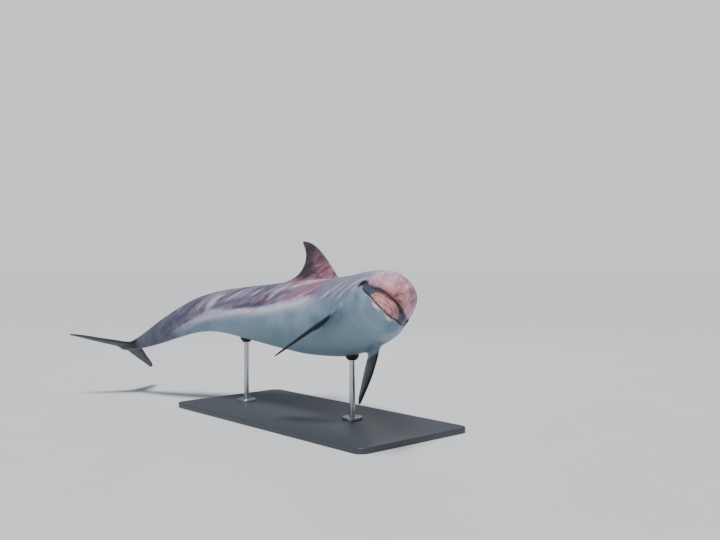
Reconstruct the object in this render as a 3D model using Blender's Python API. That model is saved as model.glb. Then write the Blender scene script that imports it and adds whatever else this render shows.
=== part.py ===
"""Still, life-size bottlenose dolphin on a plain display stand.

Units are metres, +Z is up, the trunk heads along +X and the origin is the centre of the
stand's underside. The animal is shaped straight, along its own spine, and is then laid on
a curved and banked spine: t runs back from the tip of the beak, y to the animal's left and
z to its back.
"""
import math

import bpy
import numpy as np

# ---------------------------------------------------------------- driving dimensions
GAP = 0.0003                 # clearance between neighbouring pieces
BODY_END = 2.312             # fluke notch, measured back from the tip of the beak
SPINE_PIN = 1.0              # place along the body that sits over SPINE_AT
SPINE_AT = (-0.03, 0.08, 0.460)

# bends of the spine in degrees, from the head to the flukes
BEND_AT = (0.33, 0.62, 1.00, 1.45, 1.90, 2.25)
YAW = (-40.5, -20.0, 0.0, 23.5, 21.0, 11.0)
PITCH = (2.0, 10.0, 2.0, -2.0, 23.5, 13.5)
ROLL = (-42.5, -38.5, -27.0, -28.5, -22.0, -24.5)

# trunk stations: place, back height, belly depth, half width, squareness
TRUNK = {
    "skull_front": (0.150, 0.060, 0.050, 0.070, 2.1),
    "skull": (0.200, 0.105, 0.070, 0.090, 2.1),
    "brow": (0.260, 0.136, 0.088, 0.105, 2.1),
    "eyes": (0.330, 0.150, 0.108, 0.117, 2.1),
    "nape": (0.450, 0.162, 0.137, 0.141, 2.1),
    "shoulders": (0.620, 0.169, 0.164, 0.158, 2.1),
    "chest": (0.850, 0.174, 0.179, 0.170, 2.1),
    "fin_front": (1.020, 0.172, 0.179, 0.168, 2.05),
    "waist": (1.200, 0.161, 0.165, 0.154, 2.0),
    "vent": (1.400, 0.137, 0.138, 0.126, 1.95),
    "stock_front": (1.600, 0.110, 0.107, 0.094, 1.88),
    "stock_mid": (1.800, 0.094, 0.080, 0.065, 1.80),
    "stock_rear": (1.980, 0.079, 0.059, 0.043, 1.72),
    "stock_thin": (2.110, 0.056, 0.042, 0.029, 1.70),
    "fluke_root": (2.210, 0.031, 0.026, 0.021, 1.80),
    "fluke_middle": (2.275, 0.014, 0.013, 0.015, 1.9),
    "notch": (2.320, 0.005, 0.005, 0.008, 2.0),
}
# jaw stations: place, half width, height over the mouth line, depth under it
JAWS = {
    "lip": (0.000, 0.033, 0.023, 0.022),
    "tip": (0.030, 0.040, 0.028, 0.029),
    "beak": (0.070, 0.047, 0.036, 0.040),
    "crease": (0.118, 0.060, 0.047, 0.055),
    "cheek": (0.180, 0.077, 0.052, 0.073),
    "gape": (0.250, 0.094, 0.048, 0.096),
    "jaw_joint": (0.330, 0.108, 0.030, 0.123),
}
BEAK_ROUND = 0.030           # length over which the tip of the beak rounds off
# mouth line: place and height, ending in the turned-up corner
MOUTH = ((0.0, -0.003), (0.05, 0.0), (0.12, 0.004), (0.19, 0.005), (0.235, 0.008), (0.27, 0.018))
MOUTH_GROOVE = 0.0035
MOUTH_END = 0.282

MELON_AT = (0.232, 0.0, 0.062)
MELON_SIZE = (0.106, 0.098, 0.088)
MELON_POWER = 2.25

EYE_AT = 0.310
EYE_HEIGHT = 0.027
EYE_RADIUS = 0.0165
EYE_SHOWS = 0.0046           # how far the eyeball stands out of the skin
BLOWHOLE_AT = 0.352

# where the body is parted
BEAK_CUT = 0.112
HEAD_CUT = 0.430
NECK_CUT = 0.640
TRUNK_CUT = 1.060
STOCK_CUT = 1.520

# whole-ring pieces: name, start, end and spacing of the rings
SPANS = (
    ("head", MOUTH_END, HEAD_CUT, 0.022), ("neck", HEAD_CUT, NECK_CUT, 0.035),
    ("trunk_front", NECK_CUT, TRUNK_CUT, 0.042), ("trunk_rear", TRUNK_CUT, STOCK_CUT, 0.042),
    ("tail_stock", STOCK_CUT, BODY_END, 0.053),
)

# dorsal fin stations: height over the spine, front edge, rear edge
DORSAL = (
    (0.100, 0.850, 1.420), (0.150, 0.900, 1.350), (0.173, 0.932, 1.298), (0.201, 0.972, 1.249),
    (0.240, 1.021, 1.223), (0.280, 1.068, 1.217), (0.320, 1.115, 1.224), (0.357, 1.161, 1.240),
    (0.385, 1.203, 1.258), (0.398, 1.233, 1.266), (0.4035, 1.254, 1.259),
)
DORSAL_THICK = 0.105
# fluke stations: distance out from the middle, front edge, rear edge
FLUKE = (
    (0.000, 2.130, 2.318), (0.017, 2.168, 2.323), (0.045, 2.217, 2.336),
    (0.100, 2.264, 2.359), (0.155, 2.309, 2.384), (0.210, 2.349, 2.405),
    (0.245, 2.380, 2.421), (0.264, 2.402, 2.430), (0.272, 2.417, 2.429),
)
FLUKE_THICK = 0.095
# flipper stations: distance out from the shoulder, front edge, rear edge
FLIPPER = (
    (-0.050, -0.030, 0.120), (0.000, -0.006, 0.118), (0.040, 0.001, 0.124),
    (0.090, 0.006, 0.140), (0.150, 0.014, 0.145), (0.210, 0.030, 0.142),
    (0.270, 0.050, 0.138), (0.320, 0.067, 0.133), (0.348, 0.079, 0.129),
    (0.362, 0.088, 0.125), (0.368, 0.098, 0.117),
)
FLIPPER_THICK = 0.135
FLIPPER_ROOT = (0.500, 0.120, -0.116)
FLIPPER_PIN = 0.55
FLIPPER_SET = {"right": (34.4, 75.3, -7.0), "left": (39.1, 53.8, -5.5)}   # sweep, droop, twist
EDGE = 0.0008                # thickness of the thin rear edges

BASE_SIZE = (1.36, 0.62, 0.024)
BASE_CORNER = 0.045
BASE_BEVEL = 0.004
ROD_RADIUS = 0.0125
ROD_AT = {"front": 0.74, "rear": 1.46}
FOOT_RADIUS = 0.045
FOOT_HEIGHT = 0.012
CUP_RADIUS = 0.030
CUP_HEIGHT = 0.030


# ---------------------------------------------------------------- small maths
def smooth(xs, ys, x):
    """Monotone cubic curve through (xs, ys), read at x; flat past both ends."""
    xs, ys = np.asarray(xs, float), np.asarray(ys, float)
    h = np.diff(xs)
    slope = np.diff(ys) / h
    m = np.zeros_like(ys)
    w1, w2 = 2 * h[1:] + h[:-1], h[1:] + 2 * h[:-1]
    same = slope[:-1] * slope[1:] > 0
    a = np.where(same, slope[:-1], 1.0)
    b = np.where(same, slope[1:], 1.0)
    m[1:-1] = np.where(same, (w1 + w2) / (w1 / a + w2 / b), 0.0)
    for end, k, n in ((0, 0, 1), (-1, -1, -2)):
        m[end] = ((2 * h[k] + h[n]) * slope[k] - h[k] * slope[n]) / (h[k] + h[n])
        if m[end] * slope[k] <= 0:
            m[end] = 0.0
        elif slope[k] * slope[n] <= 0 and abs(m[end]) > 3 * abs(slope[k]):
            m[end] = 3 * slope[k]
    x = np.clip(np.asarray(x, float), xs[0], xs[-1])
    i = np.clip(np.searchsorted(xs, x, side="right") - 1, 0, len(h) - 1)
    s = (x - xs[i]) / h[i]
    return (
        (1 + 2 * s) * (1 - s) ** 2 * ys[i] + s * (1 - s) ** 2 * h[i] * m[i]
        + s * s * (3 - 2 * s) * ys[i + 1] + s * s * (s - 1) * h[i] * m[i + 1]
    )


def merge(a, b, k):
    """Smooth union of two fields with blend width k."""
    h = np.clip(0.5 + 0.5 * (b - a) / k, 0.0, 1.0)
    return b * (1 - h) + a * h - k * h * (1 - h)


# ---------------------------------------------------------------- the body as a field
ALONG = np.linspace(0.0, 2.4, 2401)


def curves(rows):
    """Every column of a station table as a smooth curve, sampled each millimetre."""
    rows = np.array(rows)
    return [smooth(rows[:, 0], rows[:, k], ALONG) for k in range(1, rows.shape[1])]


TRUNK_CURVES = curves(list(TRUNK.values()))
JAW_CURVES = curves(list(JAWS.values()))
MOUTH_CURVE = curves(MOUTH)[0]


def mouth_height(t):
    return np.interp(t, ALONG, MOUTH_CURVE)


def trunk_field(t, y, z):
    up, down, wide, power = (np.interp(t, ALONG, curve) for curve in TRUNK_CURVES)
    front = TRUNK["skull_front"][0]
    fade = np.sqrt(np.clip(1 - ((front + 0.04 - t) / 0.04) ** 2, 1e-4, 1.0))
    fade = np.where(t < front + 0.04, fade, 1.0)
    fade = np.where(t < front, 1e-2, fade)
    tall = np.where(z > 0, up, down) * fade
    wide = wide * fade
    ring = ((np.abs(y) / wide) ** power + (np.abs(z) / tall) ** power) ** (1 / power)
    return (ring - 1) * np.minimum(wide, tall) + np.maximum(front - t, 0)


def jaw_field(t, y, z, upper):
    wide, up, down = (np.interp(t, ALONG, curve) for curve in JAW_CURVES)
    reach = 0.003 if not upper else 0.0
    s = np.clip((BEAK_ROUND - t - reach) / BEAK_ROUND, 0.0, 1.0)
    fade = np.sqrt(np.clip(1 - s ** 2.4, 1e-4, 1.0))
    middle = mouth_height(t)
    over = z - middle
    if upper:
        tall = np.where(over > 0, up, 0.5 * down)
    else:
        tall = np.where(over > 0, 0.5 * up, down)
        wide = wide * 0.95
    wide, tall = wide * fade, tall * fade
    ring = ((np.abs(y) / wide) ** 2.35 + (np.abs(over) / tall) ** 2.35) ** (1 / 2.35)
    return (ring - 1) * np.minimum(wide, tall) + np.maximum(-reach - t, 0)


def melon_field(t, y, z):
    p = MELON_POWER
    u = np.abs(t - MELON_AT[0]) / MELON_SIZE[0]
    v = np.abs(y) / MELON_SIZE[1]
    w = np.abs(z - MELON_AT[2]) / MELON_SIZE[2]
    return ((u ** p + v ** p + w ** p) ** (1 / p) - 1) * min(MELON_SIZE)


def body_field(t, y, z):
    head = merge(trunk_field(t, y, z), melon_field(t, y, z), 0.030)
    jaws = merge(jaw_field(t, y, z, True), jaw_field(t, y, z, False), 0.006)
    soft = 0.010 + 0.030 * np.clip((0.015 - z) / 0.04, 0.0, 1.0)
    return np.where(t < 0.5, merge(head, jaws, soft), head)


# rays that sample the body: origin along the spine, its height, forward tilt above and below
RAYS = (
    (0.030, -0.002, 84.0, 84.0), (0.030, -0.002, 62.0, 62.0), (0.030, -0.002, 36.0, 36.0),
    (0.032, -0.002, 12.0, 12.0), (0.050, 0.0, 0.0, 0.0), (0.080, 0.0, 0.0, 0.0),
    (BEAK_CUT, 0.0, 0.0, 0.0), (0.146, 0.0, 34.0, 0.0), (0.176, 0.0, 50.0, 0.0),
    (0.202, 0.0, 52.0, 0.0), (0.224, 0.0, 44.0, 0.0), (0.243, 0.0, 31.0, 0.0),
    (0.262, 0.0, 15.0, 0.0), (MOUTH_END, 0.0, 0.0, 0.0),
)


def ray_row(place):
    """Origin and tilts of the ring of rays at a row number (whole or part) of RAYS."""
    table = np.array(RAYS)
    rows = np.arange(len(RAYS))
    return [float(np.interp(place, rows, table[:, k])) for k in range(4)]


def cast(origin_t, origin_z, up, down, angles, grow=0.0):
    """Points where a ring of rays leaves the body; angles run from the back to the left."""
    angles = np.asarray(angles, float)
    tilt = np.radians(down + (up - down) * (1 + np.cos(angles)) / 2)
    ray = np.stack([-np.sin(tilt), np.cos(tilt) * np.sin(angles), np.cos(tilt) * np.cos(angles)], 1)
    start = np.array([origin_t, 0.0, origin_z])
    reach = np.linspace(0.0, 0.32, 161)
    spots = start + reach[:, None, None] * ray
    inside = body_field(spots[..., 0], spots[..., 1], spots[..., 2]) < 0
    last = inside.shape[0] - 1 - np.argmax(inside[::-1], axis=0)
    low = reach[last]
    high = low + reach[1]
    for _ in range(22):
        mid = (low + high) / 2
        spot = start + mid[:, None] * ray
        now = body_field(spot[:, 0], spot[:, 1], spot[:, 2]) < 0
        low = np.where(now, mid, low)
        high = np.where(now, high, mid)
    return start + (low + grow)[:, None] * ray


def mouth_angle(row):
    """Angle at which a ring of rays meets the mouth line on the left side."""
    low, high = math.radians(60), math.radians(150)
    for _ in range(18):
        mid = (low + high) / 2
        spot = cast(*row, [mid])[0]
        if spot[2] > mouth_height(spot[0]):
            low = mid
        else:
            high = mid
    return (low + high) / 2


# ---------------------------------------------------------------- the bent spine
def spine_table():
    t = np.linspace(-0.05, 2.5, 511)
    turn, rise, bank = (np.radians(smooth(BEND_AT, v, t)) for v in (YAW, PITCH, ROLL))
    flat = np.zeros_like(t)
    ahead = np.stack([np.cos(rise) * np.cos(turn), np.cos(rise) * np.sin(turn), np.sin(rise)], 1)
    side = np.stack([-np.sin(turn), np.cos(turn), flat], 1)
    over = np.cross(ahead, side)
    left = side * np.cos(bank)[:, None] + over * np.sin(bank)[:, None]
    top = over * np.cos(bank)[:, None] - side * np.sin(bank)[:, None]
    place = np.zeros((len(t), 3))
    place[1:] = -np.cumsum((ahead[1:] + ahead[:-1]) / 2 * (t[1] - t[0]), axis=0)
    pin = [np.interp(SPINE_PIN, t, place[:, k]) for k in range(3)]
    place += np.array(SPINE_AT) - np.array(pin)
    return t, place, ahead, left, top


SPINE = spine_table()


def at_spine(t):
    rows = [np.stack([np.interp(t, SPINE[0], part[:, k]) for k in range(3)], -1) for part in SPINE[1:]]
    return rows


def bend(points):
    """Carry points of the straight animal onto the curved, banked spine."""
    points = np.asarray(points, float)
    flat = points.reshape(-1, 3)
    place, _, left, top = at_spine(flat[:, 0])
    out = place + left * flat[:, 1:2] + top * flat[:, 2:3]
    return out.reshape(points.shape)


def carry(points, pin):
    """Carry points rigidly with the spine's frame at pin."""
    points = np.asarray(points, float)
    place, ahead, left, top = at_spine(np.array([pin]))
    flat = points.reshape(-1, 3)
    out = place - ahead * (flat[:, 0:1] - pin) + left * flat[:, 1:2] + top * flat[:, 2:3]
    return out.reshape(points.shape)


# ---------------------------------------------------------------- meshes
def finish(name, colour, roughness, metallic=0.0):
    mat = bpy.data.materials.new(name)
    mat.use_nodes = True
    shader = mat.node_tree.nodes["Principled BSDF"]
    shader.inputs["Base Color"].default_value = (*colour, 1.0)
    shader.inputs["Roughness"].default_value = roughness
    shader.inputs["Metallic"].default_value = metallic
    return mat


def add_mesh(name, verts, faces, mat):
    mesh = bpy.data.meshes.new(name)
    mesh.from_pydata([tuple(v) for v in verts], [], faces)
    mesh.materials.append(mat)
    mesh.validate()
    obj = bpy.data.objects.new(name, mesh)
    bpy.context.scene.collection.objects.link(obj)
    return obj


def skin_over(name, rings, mat, flip=False):
    """Closed solid through rings of equal point count, with a fan cap on each end."""
    rings = [np.asarray(ring) for ring in rings]
    count = len(rings[0])
    verts = [v for ring in rings for v in ring]
    faces = []
    for i in range(len(rings) - 1):
        for j in range(count):
            k = (j + 1) % count
            a, b = i * count + j, i * count + k
            quad = (a, b, b + count, a + count)
            faces.append((quad[0], quad[1], quad[2]))
            faces.append((quad[0], quad[2], quad[3]))
    for row, forward in ((0, False), (len(rings) - 1, True)):
        verts.append(rings[row].mean(axis=0))
        centre = len(verts) - 1
        for j in range(count):
            a, b = row * count + j, row * count + (j + 1) % count
            faces.append((a, b, centre) if forward else (b, a, centre))
    if flip:
        faces = [face[::-1] for face in faces]
    return add_mesh(name, verts, faces, mat)


def cut(target, cutter, operation="DIFFERENCE"):
    """Apply an exact Boolean and keep the cutter out of sight."""
    cutter.hide_render = True
    cutter.display_type = "WIRE"
    mod = target.modifiers.new("cut", "BOOLEAN")
    mod.operation = operation
    mod.solver = "EXACT"
    mod.object = cutter
    bpy.context.view_layer.update()
    graph = bpy.context.evaluated_depsgraph_get()
    mesh = bpy.data.meshes.new_from_object(target.evaluated_get(graph))
    target.modifiers.remove(mod)
    old = target.data
    target.data = mesh
    bpy.data.meshes.remove(old)


def discard(obj):
    mesh = obj.data
    bpy.data.objects.remove(obj)
    bpy.data.meshes.remove(mesh)


# ---------------------------------------------------------------- body pieces
FULL = np.linspace(0, 2 * math.pi, 33)[:-1]


def full_ring(place, grow=0.0):
    return cast(place, 0.0, 0.0, 0.0, FULL, grow)


def half_ring(row, upper, lift):
    """Closed ring of the part above or below the mouth line."""
    edge = mouth_angle(row)
    near = edge - math.radians(7.0) if upper else edge + math.radians(7.0)
    if upper:
        side = np.concatenate([np.linspace(0, near, 9)[1:], [edge]])
        angles = np.concatenate([-side[::-1], [0.0], side])
    else:
        side = np.concatenate([[edge], np.linspace(near, math.pi, 9)[:-1]])
        angles = np.concatenate([side, [math.pi], (2 * math.pi - side)[::-1]])
    points = cast(*row, angles)
    for k in (0, -1):
        inward = points[k] * np.array([0.0, 1.0, 0.0])
        length = np.linalg.norm(inward)
        points[k] -= inward / max(length, 1e-6) * min(MOUTH_GROOVE, 0.3 * length)
        points[k, 2] += lift
    ring = list(points)
    middle = (points[0] + points[-1]) / 2
    ring.append(middle)
    return np.array(ring)


def half_rows(first, last, upper, shift_first=0.0, shift_last=0.0):
    rings = []
    lift = GAP / 2 if upper else -GAP / 2
    for row in range(first, last + 1):
        data = ray_row(row)
        if row == first:
            data[0] += shift_first
        if row == last:
            data[0] += shift_last
        rings.append(half_ring(data, upper, lift))
    return rings


def trunk_places(start, end, step):
    count = max(2, int(round((end - start) / step)))
    return np.linspace(start, end, count + 1)


def trunk_rings(start, end, step):
    places = trunk_places(start, end, step)
    places[0] += GAP / 2
    places[-1] -= GAP / 2
    return [full_ring(place) for place in places]


def make_flesh(mats):
    beak_row = 6
    last = len(RAYS) - 1
    half = GAP / 2
    skin = mats["skin"]
    pieces = {}
    upper = half_rows(0, beak_row, True, 0.0, -half)
    pieces["beak"] = skin_over("beak", [bend(r) for r in upper], mats["beak"])
    lower = half_rows(0, last, False, 0.0, -half)
    pieces["lower_jaw"] = skin_over("lower_jaw", [bend(r) for r in lower], skin)
    brow = half_rows(beak_row, last, True, half, -half)
    pieces["melon"] = skin_over("melon", [bend(r) for r in brow], skin)
    for name, start, end, step in SPANS:
        rings = trunk_rings(start, end, step)
        pieces[name] = skin_over(name, [bend(r) for r in rings], skin)
    return pieces


def make_cutter(mats, grow):
    """Whole body grown by the working gap, to cut fins and rods back to the skin."""
    rings = [cast(*ray_row(row), FULL, grow) for row in range(len(RAYS) - 1)]
    for _, start, end, step in SPANS:
        places = trunk_places(start, end, step)
        rings += [full_ring(place, grow) for place in places[:-1]]
    rings.append(full_ring(BODY_END + grow, grow))
    return skin_over("body_cutter", [bend(r) for r in rings], mats["skin"])


# ---------------------------------------------------------------- eyes
def ball(name, centre, radius, mat, rows=8, columns=14):
    rings = []
    for i in range(1, rows):
        a = math.pi * i / rows
        ring = []
        for j in range(columns):
            b = 2 * math.pi * j / columns
            ring.append((
                centre[0] + radius * math.sin(a) * math.cos(b),
                centre[1] + radius * math.sin(a) * math.sin(b),
                centre[2] - radius * math.cos(a),
            ))
        rings.append(np.array(ring))
    obj = skin_over(name, rings, mat)
    tips = len(obj.data.vertices)
    obj.data.vertices[tips - 2].co = (centre[0], centre[1], centre[2] - radius)
    obj.data.vertices[tips - 1].co = (centre[0], centre[1], centre[2] + radius)
    return obj


def eye_centre(sign):
    angle = math.atan2(1.0, EYE_HEIGHT / 0.12)
    spot = cast(EYE_AT, 0.0, 0.0, 0.0, [angle])[0]
    angle = math.atan2(spot[1], EYE_HEIGHT)
    spot = cast(EYE_AT, 0.0, 0.0, 0.0, [angle])[0]
    return np.array([EYE_AT, sign * (spot[1] - EYE_RADIUS + EYE_SHOWS), EYE_HEIGHT])


def make_eyes(pieces, mats):
    for side, sign in (("left", 1), ("right", -1)):
        centre = bend(eye_centre(sign))
        socket = ball("socket", centre, EYE_RADIUS + GAP, mats["eye"])
        cut(pieces["head"], socket)
        discard(socket)
        name = f"eye_{side}"
        pieces[name] = ball(name, centre, EYE_RADIUS, mats["eye"])


# ---------------------------------------------------------------- fins
def blade(stations, thick, count, per_side):
    """Aerofoil sections (distance out, place along the chord, thickness) through stations."""
    rows = np.array(stations)
    out = rows[:, 0]
    s = np.linspace(0, 1, count)
    s = 1 - (1 - s) ** 1.35
    reach = out[0] + (out[-1] - out[0]) * s
    front = smooth(out, rows[:, 1], reach)
    rear = smooth(out, rows[:, 2], reach)
    x = (1 - np.cos(np.linspace(0, math.pi, per_side + 1))) / 2
    body = 5 * (0.2969 * np.sqrt(x) - 0.126 * x - 0.3516 * x ** 2 + 0.2843 * x ** 3 - 0.1036 * x ** 4)
    sections = []
    for d, a, b in zip(reach, front, rear):
        half = body * thick * (b - a) + EDGE / 2 * x
        one = [(d, a + (b - a) * x[i], half[i]) for i in range(per_side + 1)]
        two = [(d, a + (b - a) * x[i], -half[i]) for i in range(per_side, 0, -1)]
        sections.append(np.array(one + two))
    return sections


def make_dorsal(cutter, mats):
    rings = []
    for section in blade(DORSAL, DORSAL_THICK, 15, 8):
        rings.append(bend(np.stack([section[:, 1], section[:, 2], section[:, 0]], 1)))
    fin = skin_over("dorsal_fin", rings, mats["fin"], flip=True)
    return trim(fin, cutter)


def make_fluke(side, sign, cutter, mats):
    rings = []
    for section in blade(FLUKE, FLUKE_THICK, 14, 8):
        rings.append(bend(np.stack([section[:, 1], sign * section[:, 0], section[:, 2]], 1)))
    name = f"fluke_{side}"
    fin = skin_over(name, rings, mats["fin"], flip=sign < 0)
    keep_side(fin, sign)
    return trim(fin, cutter)


def keep_side(fin, sign):
    """Part the flukes on the middle plane behind the body."""
    low = bend(np.array([[2.10, sign * GAP / 2, z] for z in (-0.06, 0.06)]))
    far = bend(np.array([[2.48, sign * GAP / 2, z] for z in (-0.06, 0.06)]))
    out = bend(np.array([[2.10, -sign * 0.1, z] for z in (-0.06, 0.06)]))
    end = bend(np.array([[2.48, -sign * 0.1, z] for z in (-0.06, 0.06)]))
    near = np.array([low[0], low[1], out[1], out[0]])
    back = np.array([far[0], far[1], end[1], end[0]])
    box = skin_over("side_cutter", [near, back], fin.data.materials[0], flip=sign < 0)
    cut(fin, box)
    discard(box)


def flipper_axes(side, sign):
    sweep, droop, twist = (math.radians(v) for v in FLIPPER_SET[side])
    out = np.array([
        math.sin(sweep), sign * math.cos(sweep) * math.cos(droop), -math.cos(sweep) * math.sin(droop),
    ])
    chord = np.array([1.0, 0.0, 0.0]) - out * out[0]
    chord /= np.linalg.norm(chord)
    across = np.cross(out, chord)
    chord = chord * math.cos(twist) + across * math.sin(twist)
    return out, chord, np.cross(out, chord)


def make_flipper(side, sign, cutter, mats):
    out, chord, across = flipper_axes(side, sign)
    root = np.array(FLIPPER_ROOT) * np.array([1, sign, 1])
    rings = []
    for section in blade(FLIPPER, FLIPPER_THICK, 14, 8):
        points = root + section[:, 0:1] * out + section[:, 1:2] * chord + section[:, 2:3] * across
        rings.append(carry(points, FLIPPER_PIN))
    fin = skin_over(f"flipper_{side}", rings, mats["fin"], flip=True)
    return trim(fin, cutter)


def trim(piece, cutter):
    """Cut a piece back to the skin and keep only the part outside the body."""
    cut(piece, cutter)
    return piece


# ---------------------------------------------------------------- stand
def disc_rings(centre, profile, columns):
    rings = []
    for radius, height in profile:
        ring = []
        for j in range(columns):
            a = 2 * math.pi * j / columns
            ring.append((centre[0] + radius * math.cos(a), centre[1] + radius * math.sin(a), height))
        rings.append(np.array(ring))
    return rings


def plate_ring(inset, height):
    x, y = BASE_SIZE[0] / 2 - inset, BASE_SIZE[1] / 2 - inset
    r = BASE_CORNER - inset
    ring = []
    for cx, cy, start in ((1, 1, 0), (-1, 1, 90), (-1, -1, 180), (1, -1, 270)):
        for k in range(6):
            a = math.radians(start + 18 * k)
            ring.append((cx * (x - r) + r * math.cos(a), cy * (y - r) + r * math.sin(a), height))
    return np.array(ring)


def make_stand(cutter, mats):
    thick = BASE_SIZE[2]
    rings = [plate_ring(BASE_BEVEL, 0.0), plate_ring(0.0, BASE_BEVEL)]
    rings += [plate_ring(0.0, thick - BASE_BEVEL), plate_ring(BASE_BEVEL, thick)]
    pieces = {"stand_base": skin_over("stand_base", rings, mats["base"])}
    for name, place in ROD_AT.items():
        spot = at_spine(np.array([place]))[0][0]
        low = thick + GAP
        rod = [(ROD_RADIUS, low), (ROD_RADIUS, spot[2])]
        key = f"stand_rod_{name}"
        pieces[key] = skin_over(key, disc_rings(spot, rod, 28), mats["steel"])
        cut(pieces[key], cutter)
        edge = 0.003
        inner = ROD_RADIUS + GAP
        foot = [
            (inner, low), (FOOT_RADIUS, low), (FOOT_RADIUS, low + FOOT_HEIGHT - edge),
            (FOOT_RADIUS - edge, low + FOOT_HEIGHT), (inner, low + FOOT_HEIGHT),
        ]
        key = f"stand_foot_{name}"
        pieces[key] = hollow(key, spot, foot, mats["steel"])
        skin_low = lowest_of(spot, CUP_RADIUS)
        cup = [
            (inner, skin_low - CUP_HEIGHT * 0.45), (ROD_RADIUS + 0.007, skin_low - CUP_HEIGHT * 0.45),
            (CUP_RADIUS, skin_low - 0.006), (CUP_RADIUS, skin_low + 0.05), (inner, skin_low + 0.05),
        ]
        key = f"stand_cup_{name}"
        pieces[key] = hollow(key, spot, cup, mats["rubber"])
        cut(pieces[key], cutter)
    return pieces


def hollow(name, centre, profile, mat):
    """Ring-shaped solid turned about a vertical axis from a closed profile."""
    columns = 28
    verts, faces = [], []
    for ring in disc_rings(centre, profile, columns):
        verts += list(ring)
    rows = len(profile)
    for i in range(rows):
        n = (i + 1) % rows
        for j in range(columns):
            k = (j + 1) % columns
            quad = (i * columns + j, i * columns + k, n * columns + k, n * columns + j)
            faces.append((quad[0], quad[1], quad[2]))
            faces.append((quad[0], quad[2], quad[3]))
    return add_mesh(name, verts, faces, mat)


def lowest_of(spot, radius):
    """Height of the skin over the stand, at its lowest within a radius of a rod."""
    low = 10.0
    for place in np.linspace(0.55, 1.7, 70):
        ring = bend(full_ring(place))
        near = np.hypot(ring[:, 0] - spot[0], ring[:, 1] - spot[1]) < radius + 0.02
        if near.any():
            low = min(low, float(ring[near, 2].min()))
    return low


# ---------------------------------------------------------------- build
def main():
    for obj in list(bpy.data.objects):
        bpy.data.objects.remove(obj, do_unlink=True)
    mats = {
        "skin": finish("skin", (0.42, 0.41, 0.48), 0.42),
        "beak": finish("beak", (0.56, 0.40, 0.38), 0.42),
        "fin": finish("fin_skin", (0.22, 0.23, 0.28), 0.40),
        "eye": finish("eye", (0.03, 0.02, 0.02), 0.12),
        "base": finish("base_paint", (0.07, 0.075, 0.08), 0.45),
        "steel": finish("rod_steel", (0.62, 0.63, 0.65), 0.30, 1.0),
        "rubber": finish("cup_rubber", (0.03, 0.03, 0.032), 0.7),
    }
    pieces = make_flesh(mats)
    make_eyes(pieces, mats)
    cutter = make_cutter(mats, GAP)
    make_dorsal(cutter, mats)
    for side, sign in (("left", 1), ("right", -1)):
        make_fluke(side, sign, cutter, mats)
        make_flipper(side, sign, cutter, mats)
    make_stand(cutter, mats)
    discard(cutter)


main()
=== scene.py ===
"""Looks of the life-size bottlenose dolphin on its plain display stand.

The animal is shaped straight, along its own spine, and then laid on a curved, banked
spine: t runs back from the tip of the beak, y to the animal's left and z to its back.
The skin is one mesh over the CAD's flesh nodes, and its markings, with painted shade and painted
highlight in a few places, are painted by procedural materials that read the straight animal's
coordinates from the mesh.
"""
import logging
import math
from dataclasses import dataclass, field
from enum import Enum
from typing import Iterable, Sequence

import bpy
import numpy as np
from mathutils import Matrix, Vector
from mathutils.kdtree import KDTree


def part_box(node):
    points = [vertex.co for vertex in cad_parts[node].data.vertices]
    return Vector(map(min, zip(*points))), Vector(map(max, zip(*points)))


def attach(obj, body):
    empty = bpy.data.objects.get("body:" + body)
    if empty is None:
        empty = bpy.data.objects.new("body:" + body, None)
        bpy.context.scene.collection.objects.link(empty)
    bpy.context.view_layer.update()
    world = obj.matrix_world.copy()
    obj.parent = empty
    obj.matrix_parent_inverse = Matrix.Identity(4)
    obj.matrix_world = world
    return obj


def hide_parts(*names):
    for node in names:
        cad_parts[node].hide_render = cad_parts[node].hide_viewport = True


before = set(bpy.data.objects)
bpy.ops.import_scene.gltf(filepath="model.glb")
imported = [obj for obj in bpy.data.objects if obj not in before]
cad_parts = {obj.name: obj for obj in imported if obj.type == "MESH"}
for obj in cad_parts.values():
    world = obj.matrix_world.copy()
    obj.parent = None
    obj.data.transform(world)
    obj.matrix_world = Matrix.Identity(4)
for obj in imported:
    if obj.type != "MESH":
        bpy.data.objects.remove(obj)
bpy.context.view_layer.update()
LOG = logging.getLogger("dolphin")
Array = np.ndarray
Socket = bpy.types.NodeSocket
Object = bpy.types.Object
Material = bpy.types.Material


class Side(Enum):
    """The two sides of the animal, with the sign of y on each."""

    LEFT = 1
    RIGHT = -1


# ------------------------------------------------------------------ sizes
@dataclass(frozen=True)
class SpineSizes:
    """Bends of the spine in degrees, from the head to the flukes."""

    bend_at: tuple = (0.33, 0.62, 1.0, 1.45, 1.9, 2.25)
    yaw: tuple = (-40.5, -20.0, 0.0, 23.5, 21.0, 11.0)
    pitch: tuple = (2.0, 10.0, 2.0, -2.0, 23.5, 13.5)
    roll: tuple = (-42.5, -38.5, -27.0, -28.5, -22.0, -24.5)
    pin: float = 1.0
    pin_at: tuple = (-0.03, 0.08, 0.46)


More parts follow.
